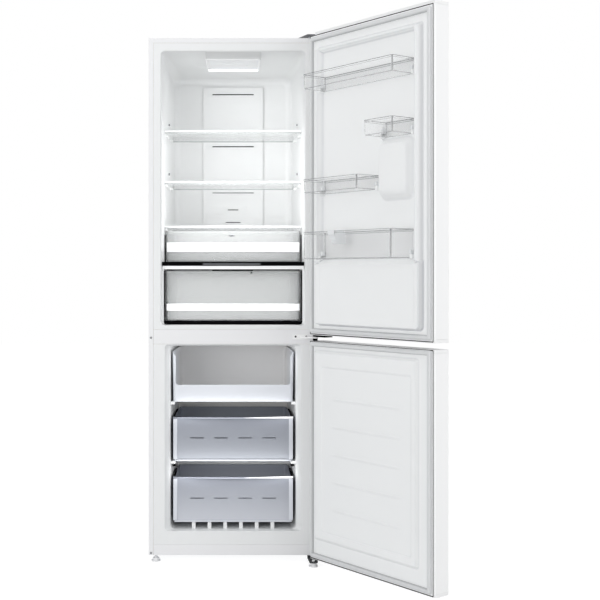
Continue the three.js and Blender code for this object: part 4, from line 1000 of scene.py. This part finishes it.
def upper_liner_height(s, z):
    """The tallest of the dykes, top bar, bottom panel, bulge and short rib, less a shallow field."""
    egg, jar = BINS["egg_bin"], BINS["jar_bin"]
    parts = [
        raised(s, z, (HINGE_SIDE, 76, DYKE_FOOT, DYKE_HIGH), height=24, slope=15),
        raised(s, z, (518, FREE_SIDE, DYKE_FOOT, DYKE_HIGH), height=26, slope=13),
        raised(s, z, (HINGE_SIDE, FREE_SIDE, DYKE_HIGH - 24, DYKE_HIGH), height=14, slope=10),
        raised(s, z, (43, FREE_SIDE, DYKE_LOW, PANEL_TOP), height=21, slope=7, corner=14, top_slope=21),
        raised(s, z, (355, 517, jar[0][2] - 40, egg[0][2] - 2), height=30, slope=24, corner=36),
        raised(s, z, (366, 372, egg[0][2] - 8, egg[1][2] - 4), height=5, slope=3, corner=3),
    ]
    field = raised(s, z, (66, 528, DYKE_LOW + 18, DYKE_FOOT - 10), height=2.6, slope=8, corner=14)
    return np.maximum.reduce(parts) - field


z_edges = (DYKE_LOW + 4, DYKE_HIGH - 18, DYKE_HIGH - 4, PANEL_TOP - 10, 1258, 1449)
z_lines = fine_lines(upper_low[2], upper_high[2], z_edges, reach=11)
s_lines = fine_lines(*SHEET_ENDS, (46, 68, 362, 373, 504, 524, 541), reach=9)
upper_sheet = formed_sheet(s_lines, z_lines, upper_liner_height)
lugs = []
for low, high in BINS.values():
    for x in (low[0] - 1.5, high[0] + 1.5):
        lugs.append(soft_block((x - 5, DOOR_FACE - 1, low[2] - 2), (x + 5, DOOR_FACE + 22, low[2] + 12), 2))
piece("upper_door_liner_dressed", [upper_sheet, *lugs], door_liner_plastic, "upper_door",
      ["upper_door_liner"], weighted=False)
print("upper door liner grid:", len(s_lines), "by", len(z_lines))

# %% [markdown]
# The freezer door holds nothing, so its liner is one raised panel with a shallow field in it. Faint ribs
# stiffen the field, each a soft ridge whose height falls off as the square of an exponential on both sides.

# %% Lower door liner
lower_low, lower_high = measured("lower_door_liner")
RIBS = lower_low[2] + 179 + 94 * np.arange(5)


def lower_liner_height(s, z):
    """A raised panel, less a shallow field inside it, plus five soft ridges that fade at their ends."""
    panel = raised(s, z, (25, 528, 96, 754), height=9, slope=11, corner=14)
    field = raised(s, z, (70, 502, 128, 699), height=2.2, slope=4, corner=8)
    fade = np.clip(np.minimum(s - 110, 470 - s) / 40, 0, 1)
    ridges = np.exp(-(((z[..., None] - RIBS) / 3.4) ** 2)).sum(-1)
    return panel - field + 1.8 * ridges * fade * fade * (3 - 2 * fade)


s_lines = fine_lines(*SHEET_ENDS, (30, 72, 500, 522), reach=9)
z_lines = fine_lines(lower_low[2], lower_high[2], (101, 130, 697, 749, *RIBS), reach=9)
lower_sheet = formed_sheet(s_lines, z_lines, lower_liner_height)
piece("lower_door_liner_dressed", [lower_sheet], door_liner_plastic, "lower_door",
      ["lower_door_liner"], weighted=False)
print("lower door liner grid:", len(s_lines), "by", len(z_lines))

# %% [markdown]
# ## Seals
#
# A magnetic seal is an extruded strip, mitred into a frame: a flat foot that presses into the liner, a pleat, and a
# soft bulb that holds the magnet. Its cross-section is a closed line of points, and each point is carried round the
# same rounded rectangle. The foot's inner edge is painted darkest, as painted shade of the crevice where the seal
# meets the liner. A dark strip of painted shadow marks the groove at the seam between each door's steel and its caps,
# a smaller section carried round in the same way.

# %% Gaskets and seams
SEAL_SECTION = np.array([
    [0.0, 0.3], [0.0, 3.1], [1.6, 3.5], [3.0, 3.6], [2.4, 6.4], [3.2, 8.4], [5.2, 9.4], [8.0, 9.5],
    [10.8, 9.4], [12.8, 8.4], [13.6, 6.4], [13.0, 3.6], [14.4, 3.5], [16.0, 3.1], [16.0, 0.3],
])
# Painted shade along the seal's section, one value for each point: darkest at the foot's inner edge.
SEAL_SHADE = np.array([0.1, 0.05, 0.0, 0.1, 0.05, 0, 0, 0, 0, 0, 0.05, 0.3, 0.2, 0.35, 0.6])


def framed_strip(low, high, section, corner, shade):
    """A cross-section of [distance inwards, height] carried round a rectangle in the door's face."""
    inward, height = section[:, 0], section[:, 1]
    outline = rounded_rect(low[0] + inward, high[0] - inward, low[2] + inward, high[2] - inward,
                           np.maximum(corner - inward, 0.6), steps=5)
    return swept_loop(stacked(outline, DOOR_FACE + height, "y"), np.asarray(shade, float)[:, None])


seal_folds = painted_shade_finish("seal_rubber", (226, 227, 228), (96, 98, 100), 0.65, grain=1600, depth=0.00005,
                           mottle=0.03, name="seal_folds")
SEAM_SECTION = np.array([[0.0, -0.5], [0.0, 0.25], [0.5, 0.4], [2.5, 0.4], [3.0, 0.25], [3.0, -0.5]])
SEAM_INSETS = {"upper_door": (7.0, 2.0, 2.0, 9.6), "lower_door": (7.0, 2.0, 2.0, 0.2)}
for door, (free, hinge, bottom, top) in SEAM_INSETS.items():
    seal_low, seal_high = measured(door + "_gasket")
    seal = framed_strip(seal_low, seal_high, SEAL_SECTION, corner=7, shade=SEAL_SHADE)
    piece(door + "_gasket_dressed", [seal], seal_folds, door, [door + "_gasket"])
    cap_low, cap_high = measured(door + "_bottom_cap")[0], measured(door + "_top_cap")[1]
    low = np.array([cap_low[0] + free, 0, cap_low[2] + bottom])
    high = np.array([cap_high[0] - hinge, 0, cap_high[2] - top])
    seam = framed_strip(low, high, SEAM_SECTION, corner=2.5, shade=np.zeros(len(SEAM_SECTION)))
    piece(door + "_seam", [seam], seam_shadow, door)
print("seals: section of", len(SEAL_SECTION), "points")

# %% [markdown]
# ## Clear door bins
#
# A clear bin is a thin-walled box with a small step at its rim. What the eye sees is not the wall but its
# bends: two lines where the rim steps out, one round the floor, and darker strips at the two front corners.
# So each ring of the bin carries a mark for how strongly it shows, and the corner columns carry one as
# well.

# %% Bins
def bin_rows(low, high):
    """Inset, height and mark of each ring, from the underside's middle over the rim to the floor."""
    b, t = low[2], high[2]
    return np.array([
        (6.0, b, 0.0), (3.0, b + 0.4, 0.6), (2.0, b + 1.8, 0.6), (1.4, b + 3.2, 0.03),
        (0.4, b + 10, 0.0), (0.0, b + 14, 0.0), (0.0, t - 8.0, 0.0), (0.0, t - 7.0, 0.45),
        (-1.1, t - 6.0, 0.5), (-1.4, t - 5.0, 0.04), (-1.4, t - 1.6, 0.06), (-1.4, t - 0.8, 0.8),
        (-0.6, t, 1.0), (1.2, t, 1.0), (2.0, t - 0.8, 0.7), (2.0, t - 1.8, 0.03),
        (2.0, b + 14, 0.0), (2.6, b + 9, 0.0), (4.4, b + 3.6, 0.03), (5.4, b + 2.6, 0.3),
        (6.8, b + 2.1, 0.25), (9.0, b + 2.0, 0.0),
    ])


def bin_rings(low, high, front_corner=7.0, back_corner=3.0):
    """Rings of a bin, whose front is the side towards the fridge, and the marks of every point."""
    rows = bin_rows(low, high)
    inset = rows[:, 0]
    corner = np.empty((len(rows), 4))
    corner[:, FRONT_CORNERS] = np.maximum(front_corner - inset, 3)[:, None]
    corner[:, BACK_CORNERS] = np.maximum(back_corner - inset, 1.2)[:, None]
    outline = rounded_rect(low[0] + inset, high[0] - inset, low[1] + inset, high[1] - inset, corner, steps=8)
    turn = np.tile(np.linspace(0, 1, 9), 4)
    bend = np.sin(np.pi * turn) ** 2 * 0.75
    upright = (np.arange(len(rows)) > 1) & (np.arange(len(rows)) < len(rows) - 5)
    marks = np.maximum(rows[:, 2:], bend[None, :] * upright[:, None])
    return stacked(outline, rows[:, 1], "z"), marks


EAR_REACH = 5.0
for name, (box_low, box_high) in BINS.items():
    low, high = box_low + (EAR_REACH, 0, 0), box_high - (EAR_REACH, 0, 0)
    ears = [soft_block((x - 5.2, low[1] + 4, low[2] + 12.3), (x + 5.2, low[1] + 18, low[2] + 26), 1.6)
            for x in (low[0], high[0])]
    piece(name + "_dressed", [ring_solid(*bin_rings(low, high))], clear_plastic, name, [name], sharp=50)
    piece(name + "_ears", ears, milky_plastic, name)
    print(name, "from", low.round(0), "to", high.round(0))

# %% [markdown]
# ## Drawers
#
# The two drawers in the fridge are clear tubs with a white band across the front. Their sides follow the
# walls, which come closer together towards the back, so each ring is drawn for the front and its width is
# then scaled by the room there is at each point's own depth.

# %% Tubs
BAND_PROUD = 1.5


def tub_rows(low, high, draft, lip=0.0):
    """Inset, height and mark of a tub's rings: underside, leaning wall, rim, inner wall and floor."""
    b, t = low[2], high[2]
    return np.array([
        (draft + 7, b, 0.2), (draft + 2.4, b + 0.6, 0.5), (draft + 0.8, b + 2.6, 0.5), (draft, b + 7, 0.15),
        (0.2, t - 9, 0.05), (-lip, t - 7.6, 0.6), (-lip, t - 1.0, 0.7), (0.9 - lip, t, 1.0),
        (2.2, t, 1.0), (3.0, t - 1.0, 0.8), (2.2, t - 9, 0.1), (draft + 2, b + 9, 0.1),
        (draft + 3.4, b + 4, 0.4), (draft + 8, b + 2.2, 0.4), (draft + 13, b + 2, 0.15),
    ])


def tub_rings(low, high, half_at, gap, draft, corner=12.0, lip=0.0):
    """Rings of a drawer whose width follows the walls, and the marks of every point."""
    rows = tub_rows(low, high, draft, lip)
    inset = rows[:, 0]
    half = half_at(low[1]) - gap - inset
    front, back = low[1] + inset, high[1] - inset
    outline = rounded_rect(-half, half, front, back, np.maximum(corner - inset * 0.5, 4), steps=7)
    room = (half_at(outline[..., 1]) - gap - inset[:, None]) / half[:, None]
    outline[..., 0] *= room
    bend = np.sin(np.pi * np.tile(np.linspace(0, 1, 8), 4)) ** 2 * 0.4
    return stacked(outline, rows[:, 1], "z"), np.maximum(rows[:, 2:], bend[None, :])


def fridge_drawer(node, gap, draft, band_low, band_high):
    """A clear tub with its white band, which stands a little proud of the front."""
    low, high = measured(node)
    low[1] += BAND_PROUD
    tub = ring_solid(*tub_rings(low, high, fridge_half, gap, draft))
    piece(node + "_dressed", [tub], drawer_plastic, node, [node], sharp=50)
    half = float(fridge_half(low[1])) - gap - 4
    ends = (-half, low[1] - BAND_PROUD, low[2] + band_low), (half, low[1] + draft + 1.2, low[2] + band_high)
    piece(node + "_band", [soft_block(*ends, 1.4, axis="x")], white_trim, node)
    return low, high


chill_low, chill_high = fridge_drawer("chill_drawer", gap=5, draft=1, band_low=35, band_high=70)
crisper_low, crisper_high = fridge_drawer("crisper_drawer", gap=12, draft=2, band_low=35.4, band_high=60.4)
print("chill drawer front at", chill_low.round(1), "crisper front at", crisper_low.round(1))

# %% [markdown]
# Both drawers stand in black frames. Only the front of a frame shows: a U with a round lower corner on each
# side, drawn as one outline that goes down the outside, round the corners and back along the inside. Two
# low runners behind it carry the drawer. A narrow strip in the liner's plastic closes the gap between the
# frame and the wall.

# %% Runner frames
def u_outline(half, bottom, top, wall, bar_top, corner, inner=3.0, steps=6):
    """A U as one closed line: down the outside, round the lower corners and back along the inside."""
    turn = np.radians(np.linspace(180, 270, steps + 1))

    def lower_half(reach, low, radius):
        """The left side down to its corner, a quarter circle, and the mirror of both."""
        arc = np.stack([-reach + radius + radius * np.cos(turn), low + radius + radius * np.sin(turn)], -1)
        left = np.concatenate([[[-reach, top]], arc])
        return np.concatenate([left, (left * [-1, 1])[::-1]])

    return np.concatenate([lower_half(half, bottom, corner), lower_half(half - wall, bar_top, inner)[::-1]])


def u_frame(outline, y0, y1, edge=0.5):
    """The U pulled along Y, with both its faces drawn in a little to break their edges."""
    before, after = np.roll(outline, 1, 0), np.roll(outline, -1, 0)
    along = after - before
    normal = np.stack([along[:, 1], -along[:, 0]], -1) / np.linalg.norm(along, axis=1, keepdims=True)
    area = np.sum(outline[:, 0] * after[:, 1] - after[:, 0] * outline[:, 1])
    inset = -np.sign(area) * normal * edge
    rings = np.stack([outline + inset, outline, outline, outline + inset])
    return ring_solid(stacked(rings, np.array([y0, y0 + edge, y1 - edge, y1]), "y"))


def runner_pair(low, high, top, reach):
    """The two low runners behind a frame's bar."""
    return pair((-7, low[1] + 6, low[2]), (7, high[1], top), reach, 1)


FRAME_DEPTH = 8
CRISPER_HALF, CHILL_HALF = 245, 247.6  # half widths of the two frames
frame_low, frame_high = measured("crisper_runner_frame")
bar_top = crisper_low[2] - 0.4
crisper_outline = u_outline(CRISPER_HALF, frame_low[2], cover_low[2] - 5, wall=3.6, bar_top=bar_top, corner=11)
crisper_u = u_frame(crisper_outline, frame_low[1], frame_low[1] + FRAME_DEPTH)
runners = runner_pair(frame_low, frame_high, bar_top, reach=200)
piece("crisper_runner_frame_dressed", [crisper_u, *runners], matt_black, "cabinet", ["crisper_runner_frame"])
closers = []
for side in (-1, 1):
    ends = sorted((side * (CRISPER_HALF + 0.2), side * (float(fridge_half(frame_low[1])) + 1)))
    low, high = (ends[0], frame_low[1] + 1, frame_low[2]), (ends[1], frame_low[1] + 4, cover_low[2])
    closers.append(soft_block(low, high, 0.4))
piece("crisper_frame_closers", closers, liner_plastic, "cabinet")

chill_frame_low, chill_frame_high = measured("chill_runner_frame")
chill_top = chill_low[2] - 0.4
chill_outline = u_outline(CHILL_HALF, chill_frame_low[2], chill_frame_high[2] - 8, wall=4, bar_top=chill_top,
                          corner=3)
chill_u = u_frame(chill_outline, chill_frame_low[1], chill_frame_low[1] + FRAME_DEPTH)
chill_runners = runner_pair(chill_frame_low, chill_frame_high, chill_top, reach=190)


def chill_apron(y0, y1):
    """The bar in front of the chill drawer's frame: a soft block whose ends follow the walls."""
    block = soft_block((-1, y0, chill_frame_low[2]), (1, y1, chill_top), 0.45, axis="x")
    return bent(block, lambda x, y: x * (fridge_half(y) - 0.6))


chill_parts = [chill_u, *chill_runners, chill_apron(cover_low[1] + 2, chill_frame_low[1] + 1)]
piece("chill_runner_frame_dressed", chill_parts, matt_black, "cabinet", ["chill_runner_frame"])
inset_z = chill_frame_low[2] + 2.5
apron_inset = soft_block((-108, cover_low[1] + 1.6, inset_z), (98, cover_low[1] + 3, inset_z + 7), 0.5, 3)
piece("chill_frame_inset", [apron_inset], dark_plastic, "cabinet")
print("frames: crisper", frame_low.round(0), "chill", chill_frame_low.round(0))

# %% [markdown]
# The crisper slides under a white lip. The thin gap under the lip and the finger recess below it are painted shadow:
# black plates stand where they lie in shade. Small dark marks - a black knob on the crisper, and on the chill drawer a
# notch drawn as a dark plate of painted shade - are what make a drawing of a drawer look like a drawer.

# %% Drawer details
lip_bottom, drawer_top = cover_low[2], crisper_high[2]
# Painted shadow: black plates in the gap under the lip and in the finger recess.
gap_shade = soft_block((-236, cover_low[1] + 2, lip_bottom - 3.6), (236, cover_low[1] + 7, lip_bottom), 0.4)
recess = soft_block((-74, cover_low[1] + 2, drawer_top + 0.4), (70, cover_low[1] + 7, lip_bottom - 3), 0.4)
piece("crisper_gap_shade", [gap_shade, recess], matt_black, "cabinet")
knob_at = (65, crisper_low[1] - 2.6, drawer_top - 6)
knob = turned_solid([[0, 0], [2.6, 0], [3.4, 0.8], [3.4, 3.2]], knob_at, "y")
piece("crisper_knob", [knob], black_plastic, "crisper_drawer")
# Painted shade: the notch is a dark plate on the front, not a cut.
notch_z = chill_high[2] - 20
notch = soft_block((-15, chill_low[1] - 1.0, notch_z), (5, chill_low[1] + 1.0, notch_z + 3.6), 0.8)
piece("chill_drawer_notch", [notch], dark_plastic, "chill_drawer")
print("gap under the crisper's lip:", round(lip_bottom - drawer_top, 1), "mm")

# %% [markdown]
# The freezer's tubs are moulded in a smoky plastic with real slots cut through the front, so they keep the drawn shape
# with rounded edges. Less light reaches them higher up, under the tub above, and the plastic passes some of it on, so
# the finish runs from a darker tone at the rim to a lighter one at the floor. It reads the height from the object's
# own coordinates, which stay with the tub when it slides out. The basket's tone is painted shade too: it runs from a
# darker one at the front to a lighter one at the back.

# %% Frosted finish
def frosted_finish(slot, name, low, high, high_levels, low_levels, opacity, axis="Z"):
    """A plastic whose colour runs along an axis, from one tone at its low end to another at its high end."""
    material, tree, shader, mixed = surface_finish(slot, low_levels, 0.35, name=name)
    place = tree.nodes.new("ShaderNodeSeparateXYZ")
    tree.links.new(tree.nodes["Texture Coordinate"].outputs["Object"], place.inputs[0])
    rise = ranged(tree, place.outputs[axis], 0.0, 1.0, source=(low * MM, high * MM))
    tree.links.new(blended(tree, rise, mixed, linear(high_levels)), shader.inputs["Base Color"])
    shader.inputs["Alpha"].default_value = opacity
    return material


frosted_edge = opaque("frosted_plastic", (214, 217, 224), 0.35, grain=900, mottle=0.01, name="frosted_edge")
RIM_LEVELS = (158, 162, 173)
POST_AT, STOP_AT, GAP_SHADOW_SIDES = 205, 211, (205.5, 212.0)
FREEZER_TUBS = {  # where the painted gap shadows on the rims end, and the tone at the floor
    "freezer_drawer_upper": (262, (190, 194, 202)),
    "freezer_drawer_lower": (200, (210, 213, 220)),
}

# %% [markdown]
# Each tub's front has a light post at both ends and a bead along its foot, where the plastic is thickest. The pull is
# a bowed lip: its front follows a cosine and falls back towards the right-hand end, where the lip is tallest, so its
# white is shaped as a painted highlight on the right half of the rim. Two flat black strips on the side rims are
# painted shadow, for the dark gap between each tub and the liner's walls.

# %% Freezer tubs
basket_low, basket_high = measured("freezer_basket")
basket_shade = frosted_finish("white_trim", "basket_shade", basket_low[1] + 40, basket_high[1] - 4,
                              (236, 235, 234), (226, 229, 235), opacity=1.0, axis="Y")
softened("freezer_basket", basket_shade, radius=1.2)


def pull_lip_highlight(low, high, start=38.0, end=213.0, reach=11.0):
    """A bowed lip shaped as a painted highlight: the rings along X fall back by a cosine and grow taller with a power
    of X.
    """
    x = np.linspace(start, end, 25)
    half = end - 9
    front = low[1] + reach - reach * np.cos(np.minimum(x / half, 1) * math.pi / 2)
    tall = 0.3 + 7.7 * ((x - start) / (end - start)) ** 0.7
    middle = high[2] - 1.0
    corner = np.minimum(tall / 2.2, 1.4)
    outline = rounded_rect(front - 0.9, front + 2.5, middle - tall / 2, middle + tall / 2, corner)
    return ring_solid(stacked(outline, x, "x"))


def rim_gap_shadow(side, low, high, back):
    """Painted shadow: a flat black strip along a tub's side rim, where the gap between tub and wall is dark."""
    ends = sorted(side * x for x in GAP_SHADOW_SIDES)
    return soft_block((ends[0], low[1] + 27, high[2] - 0.6), (ends[1], back, high[2] + 1.8), 0.7)


for node, (shadow_end, floor_levels) in FREEZER_TUBS.items():
    low, high = measured(node)
    finish = frosted_finish("frosted_plastic", node + "_plastic", low[2], high[2], RIM_LEVELS, floor_levels,
                            opacity=0.85)
    softened(node, finish, radius=0.9)
    front = low[1] + 11
    posts = pair((-7, front - 0.9, low[2] + 8), (7, front + 1, high[2] - 6), POST_AT, radius=0.7)
    bead = soft_block((-POST_AT - 1, front - 0.9, low[2] + 2), (POST_AT + 1, front + 1, low[2] + 6.5), 0.7)
    piece(node + "_edges", [*posts, bead], frosted_edge, node)
    piece(node + "_lip", [pull_lip_highlight(low, high)], white_trim, node)
    piece(node + "_strips", [rim_gap_shadow(side, low, high, shadow_end) for side in (-1, 1)], matt_black, node)
stop_top = measured("freezer_drawer_upper")[0][2] - 11.5
piece("freezer_stops", pair((-6, 42, stop_top - 9), (6, 62, stop_top), STOP_AT, 1.2), matt_black, "cabinet")
print("pieces so far:", len(made_pieces))

# %% [markdown]
# ## Lamp
#
# The lamp lies in the fridge's ceiling: a white bezel round a shallow recess, with a lens that gives off light. A
# wedge of the liner's plastic, painted a little darker than the ceiling as painted shade, leads up to it and hides its
# front edge. The housing is a stack of rings again: it comes down from the ceiling, turns round the bezel and goes up
# into the recess.

# %% Lamp housing
housing_low, housing_high = measured("lamp_housing")


def lamp_rings(low, high):
    """Rings of the housing: the first follows the ceiling's fall, the last closes the recess."""
    inset = np.array([0.0, 0.0, 1.0, 4.4, 5.2, 5.6])
    height = low[2] + np.array([0.0, 1.2, 0.0, 0.0, 0.8, 3.4])
    outline = rounded_rect(low[0] + inset, high[0] - inset, low[1] + inset, high[1] - inset,
                           np.maximum(7 - inset, 2), steps=5)
    rings = stacked(outline, height, "z")
    rings[0, :, 2] = ceiling_at(rings[0, :, 1]) - 0.3
    return rings


def ceiling_wedge(low, high, start=6.0):
    """A wedge under the ceiling: two rings, each with its start, its foot and the ceiling over it."""
    y = np.array([start, low[1] + 0.5, low[1] + 0.5, start])
    z = np.array([ceiling_at(start) - 0.5, low[2] + 2.5, ceiling_at(low[1]) + 1, ceiling_at(start) + 1])
    x = np.array([low[0] + 1, high[0] - 1])
    outline = np.broadcast_to(np.stack([y, z], -1), (2, 4, 2))
    return ring_solid(stacked(outline, x, "x"))


housing = ring_solid(lamp_rings(housing_low, housing_high))
piece("lamp_housing_dressed", [housing], white_trim, "cabinet", ["lamp_housing"])
wedge_plastic = opaque("liner_plastic", (222, 223, 223), 0.45, grain=500, mottle=0.012, name="wedge_plastic")
piece("lamp_wedge", [ceiling_wedge(housing_low, housing_high)], wedge_plastic, "cabinet")
panel_z = housing_low[2] + 2.6
control = soft_block((-58, 130, panel_z - 1.5), (36, 205, panel_z + 1), 0.7, corner=6)
dial = turned_solid([[0, -1.6], [6, -1.6], [7, -0.6], [7, 1]], (52, 165, panel_z))
plate = soft_block((*(housing_low[:2] + 7), panel_z), (*(housing_high[:2] - 7), panel_z + 2), 0.5)
piece("lamp_control_panel", [plate, control, dial], lamp_panel, "cabinet")
print("lamp housing", housing_low.round(0), housing_high.round(0))

# %% [markdown]
# ## Shelf edges
#
# Each glass plate has a slim white bead on top of its front edge, a clear lip below it, and a clear rail at
# the back. What draws the shelf is the cut edge of the glass, a thin grey-green line under the bead and
# along the rail's foot.

# %% Shelf trims
def across(y0, y1, z0, z1, mark=0.0):
    """A soft bar across the fridge whose ends follow the side walls' lean, with one edge mark all over."""
    block = soft_block((-1.0, y0, z0), (1.0, y1, z1), 0.45, axis="x")

    def to_walls(x, y):
        """Each end moves to 2 mm from its wall and keeps its rounding."""
        return np.sign(x) * (fridge_half(y) - 2.0) - np.sign(x) * (1 - np.abs(x))

    points, faces, _ = bent(block, to_walls)
    return points, faces, np.full(len(points), mark)


for level in SHELF_NAMES:
    (_, y0, z0), (_, y1, z1) = measured(level + "_front_trim")
    bead = across(y0, y1, z0 + 6.2, z1)
    piece(level + "_front_trim_dressed", [bead], white_trim, "cabinet", [level + "_front_trim"])
    piece(level + "_front_lip", [across(y0 + 0.4, y0 + 2.6, z0, z0 + 4.6, mark=0.25)], clear_plastic, "cabinet")
    edge_line = across(y0 + 0.2, y0 + 3, z0 + 4.7, z0 + 6.1)
    (_, y0, z0), (_, y1, z1) = measured(level + "_rear_trim")
    rail, foot = across(y0, y1, z0 + 1.6, z1, mark=0.12), across(y0, y1, z0, z0 + 1.5)
    piece(level + "_rear_trim_dressed", [rail], clear_plastic, "cabinet", [level + "_rear_trim"])
    piece(level + "_edge_lines", [edge_line, foot], glass_edge, "cabinet")
# Painted shade: grey pads on the front of the rests stand for the shade in their round holes.
caps = []
for side in (-1, 1):
    for low, high in SHELVES[:2]:
        caps.append(wall_rest(side, 226.6, 229, low[2] + 41.5, low[2] + 49.5, reach=5.6, radius=0.9))
piece("rest_caps", caps, grey_plastic, "cabinet")
print("shelves dressed:", len(SHELVES))

# %% [markdown]
# ## Air duct
#
# The outlets in the back panel get painted shadow in their upper half: black plates, one of them only grey, stand for
# the dark inside of the duct. A white blade fills the lower half and turns the air upwards.

# %% Outlets and vents
duct_low, duct_high = measured("air_duct_panel")
shelf_tops = [low[2] for low, high in SHELVES]
OUTLETS = (  # half width, height, and whether the painted shadow in the throat is black or grey
    (80.6, duct_high[2] - 29, True),
    (80.6, shelf_tops[0] - 13, True),
    (80.6, shelf_tops[1] - 11, False),
    (20.6, shelf_tops[1] - 77, True),
    (28.6, shelf_tops[2] + 35, True),
)
throats, blades = {True: [], False: []}, []
for half, z, dark in OUTLETS:
    tall = 3.6 if half > 50 else 2.6  # half the height of a long outlet or of a short one
    throats[dark].append(soft_block((-half, duct_low[1] + 1.2, z), (half, duct_low[1] + 2.4, z + tall), 0.3))
    blades.append(soft_block((-half, duct_low[1] + 0.4, z - tall), (half, duct_low[1] + 2.4, z - 0.2), 0.3))
piece("duct_throats", throats[True], matt_black, "cabinet")
piece("duct_low_throat", throats[False], grey_plastic, "cabinet")
piece("duct_blades", blades, white_trim, "cabinet")
print("outlets:", len(OUTLETS))

# %% [markdown]
# ## Hinges and small hardware
#
# Two pan-head screws hold the middle hinge, its pins turn in black bushes, and a black stop plate lies
# under the upper door. Where the doors could be hung on the other side, blank plugs fill the holes.

# %% Hardware
def pan_head(x, y, z, radius):
    """A pan-head screw that faces forward: a low dome over a short cylinder."""
    profile = [[0, -2.0], [radius * 0.55, -1.9], [radius * 0.85, -1.4], [radius, -0.7], [radius, 0.4]]
    return turned_solid(profile, (x, y, z), "y", 20)


hinge_low, hinge_high = measured("middle_hinge")
gap_bottom, gap_top = measured("lower_door_top_cap")[1][2], measured("upper_door_bottom_cap")[0][2]
PLATE_FACE, SCREW_RADIUS, SCREWS_AT = -3.0, 3.4, (220, 257)
screw_z = (gap_bottom + gap_top) / 2 + 2.5
screws = [pan_head(x, PLATE_FACE, screw_z, SCREW_RADIUS) for x in SCREWS_AT]
piece("middle_hinge_screws", screws, dark_steel, "cabinet")
stop_plate = soft_block((222, -52, gap_top - 7), (273, -14, gap_top - 0.2), 1.2, corner=5)
piece("upper_door_stop", [stop_plate], matt_black, "upper_door")
arm_bottom, arm_top = screw_z - 5.2, screw_z + 1.2


def bush(low, high):
    """A black ring round the hinge's pin, with both its edges broken."""
    profile = [[0, low], [7.6, low], [8.4, low + 0.8], [8.4, high - 0.8], [7.6, high], [0, high]]
    return turned_solid(profile, (PIVOT[0], PIVOT[1], 0))


bushes = [bush(gap_bottom + 0.4, arm_bottom), bush(arm_top, gap_top - 0.4)]
piece("hinge_bushes", bushes, matt_black, "cabinet")
plugs = [pan_head(-(cabinet_high[0] - 8.5), 0.3, z, radius=4.2) for z in (screw_z - 4, 34)]
piece("blank_plugs", plugs, grey_plastic, "cabinet")
print("middle hinge", hinge_low.round(0), hinge_high.round(0))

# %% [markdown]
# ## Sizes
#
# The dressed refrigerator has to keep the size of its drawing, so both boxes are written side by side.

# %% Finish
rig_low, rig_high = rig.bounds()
with open("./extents.json", "w") as out:
    json.dump({"cad": [list(corner) for corner in cad_box], "visual": [list(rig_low), list(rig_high)]}, out)
print("pieces made:", len(made_pieces))
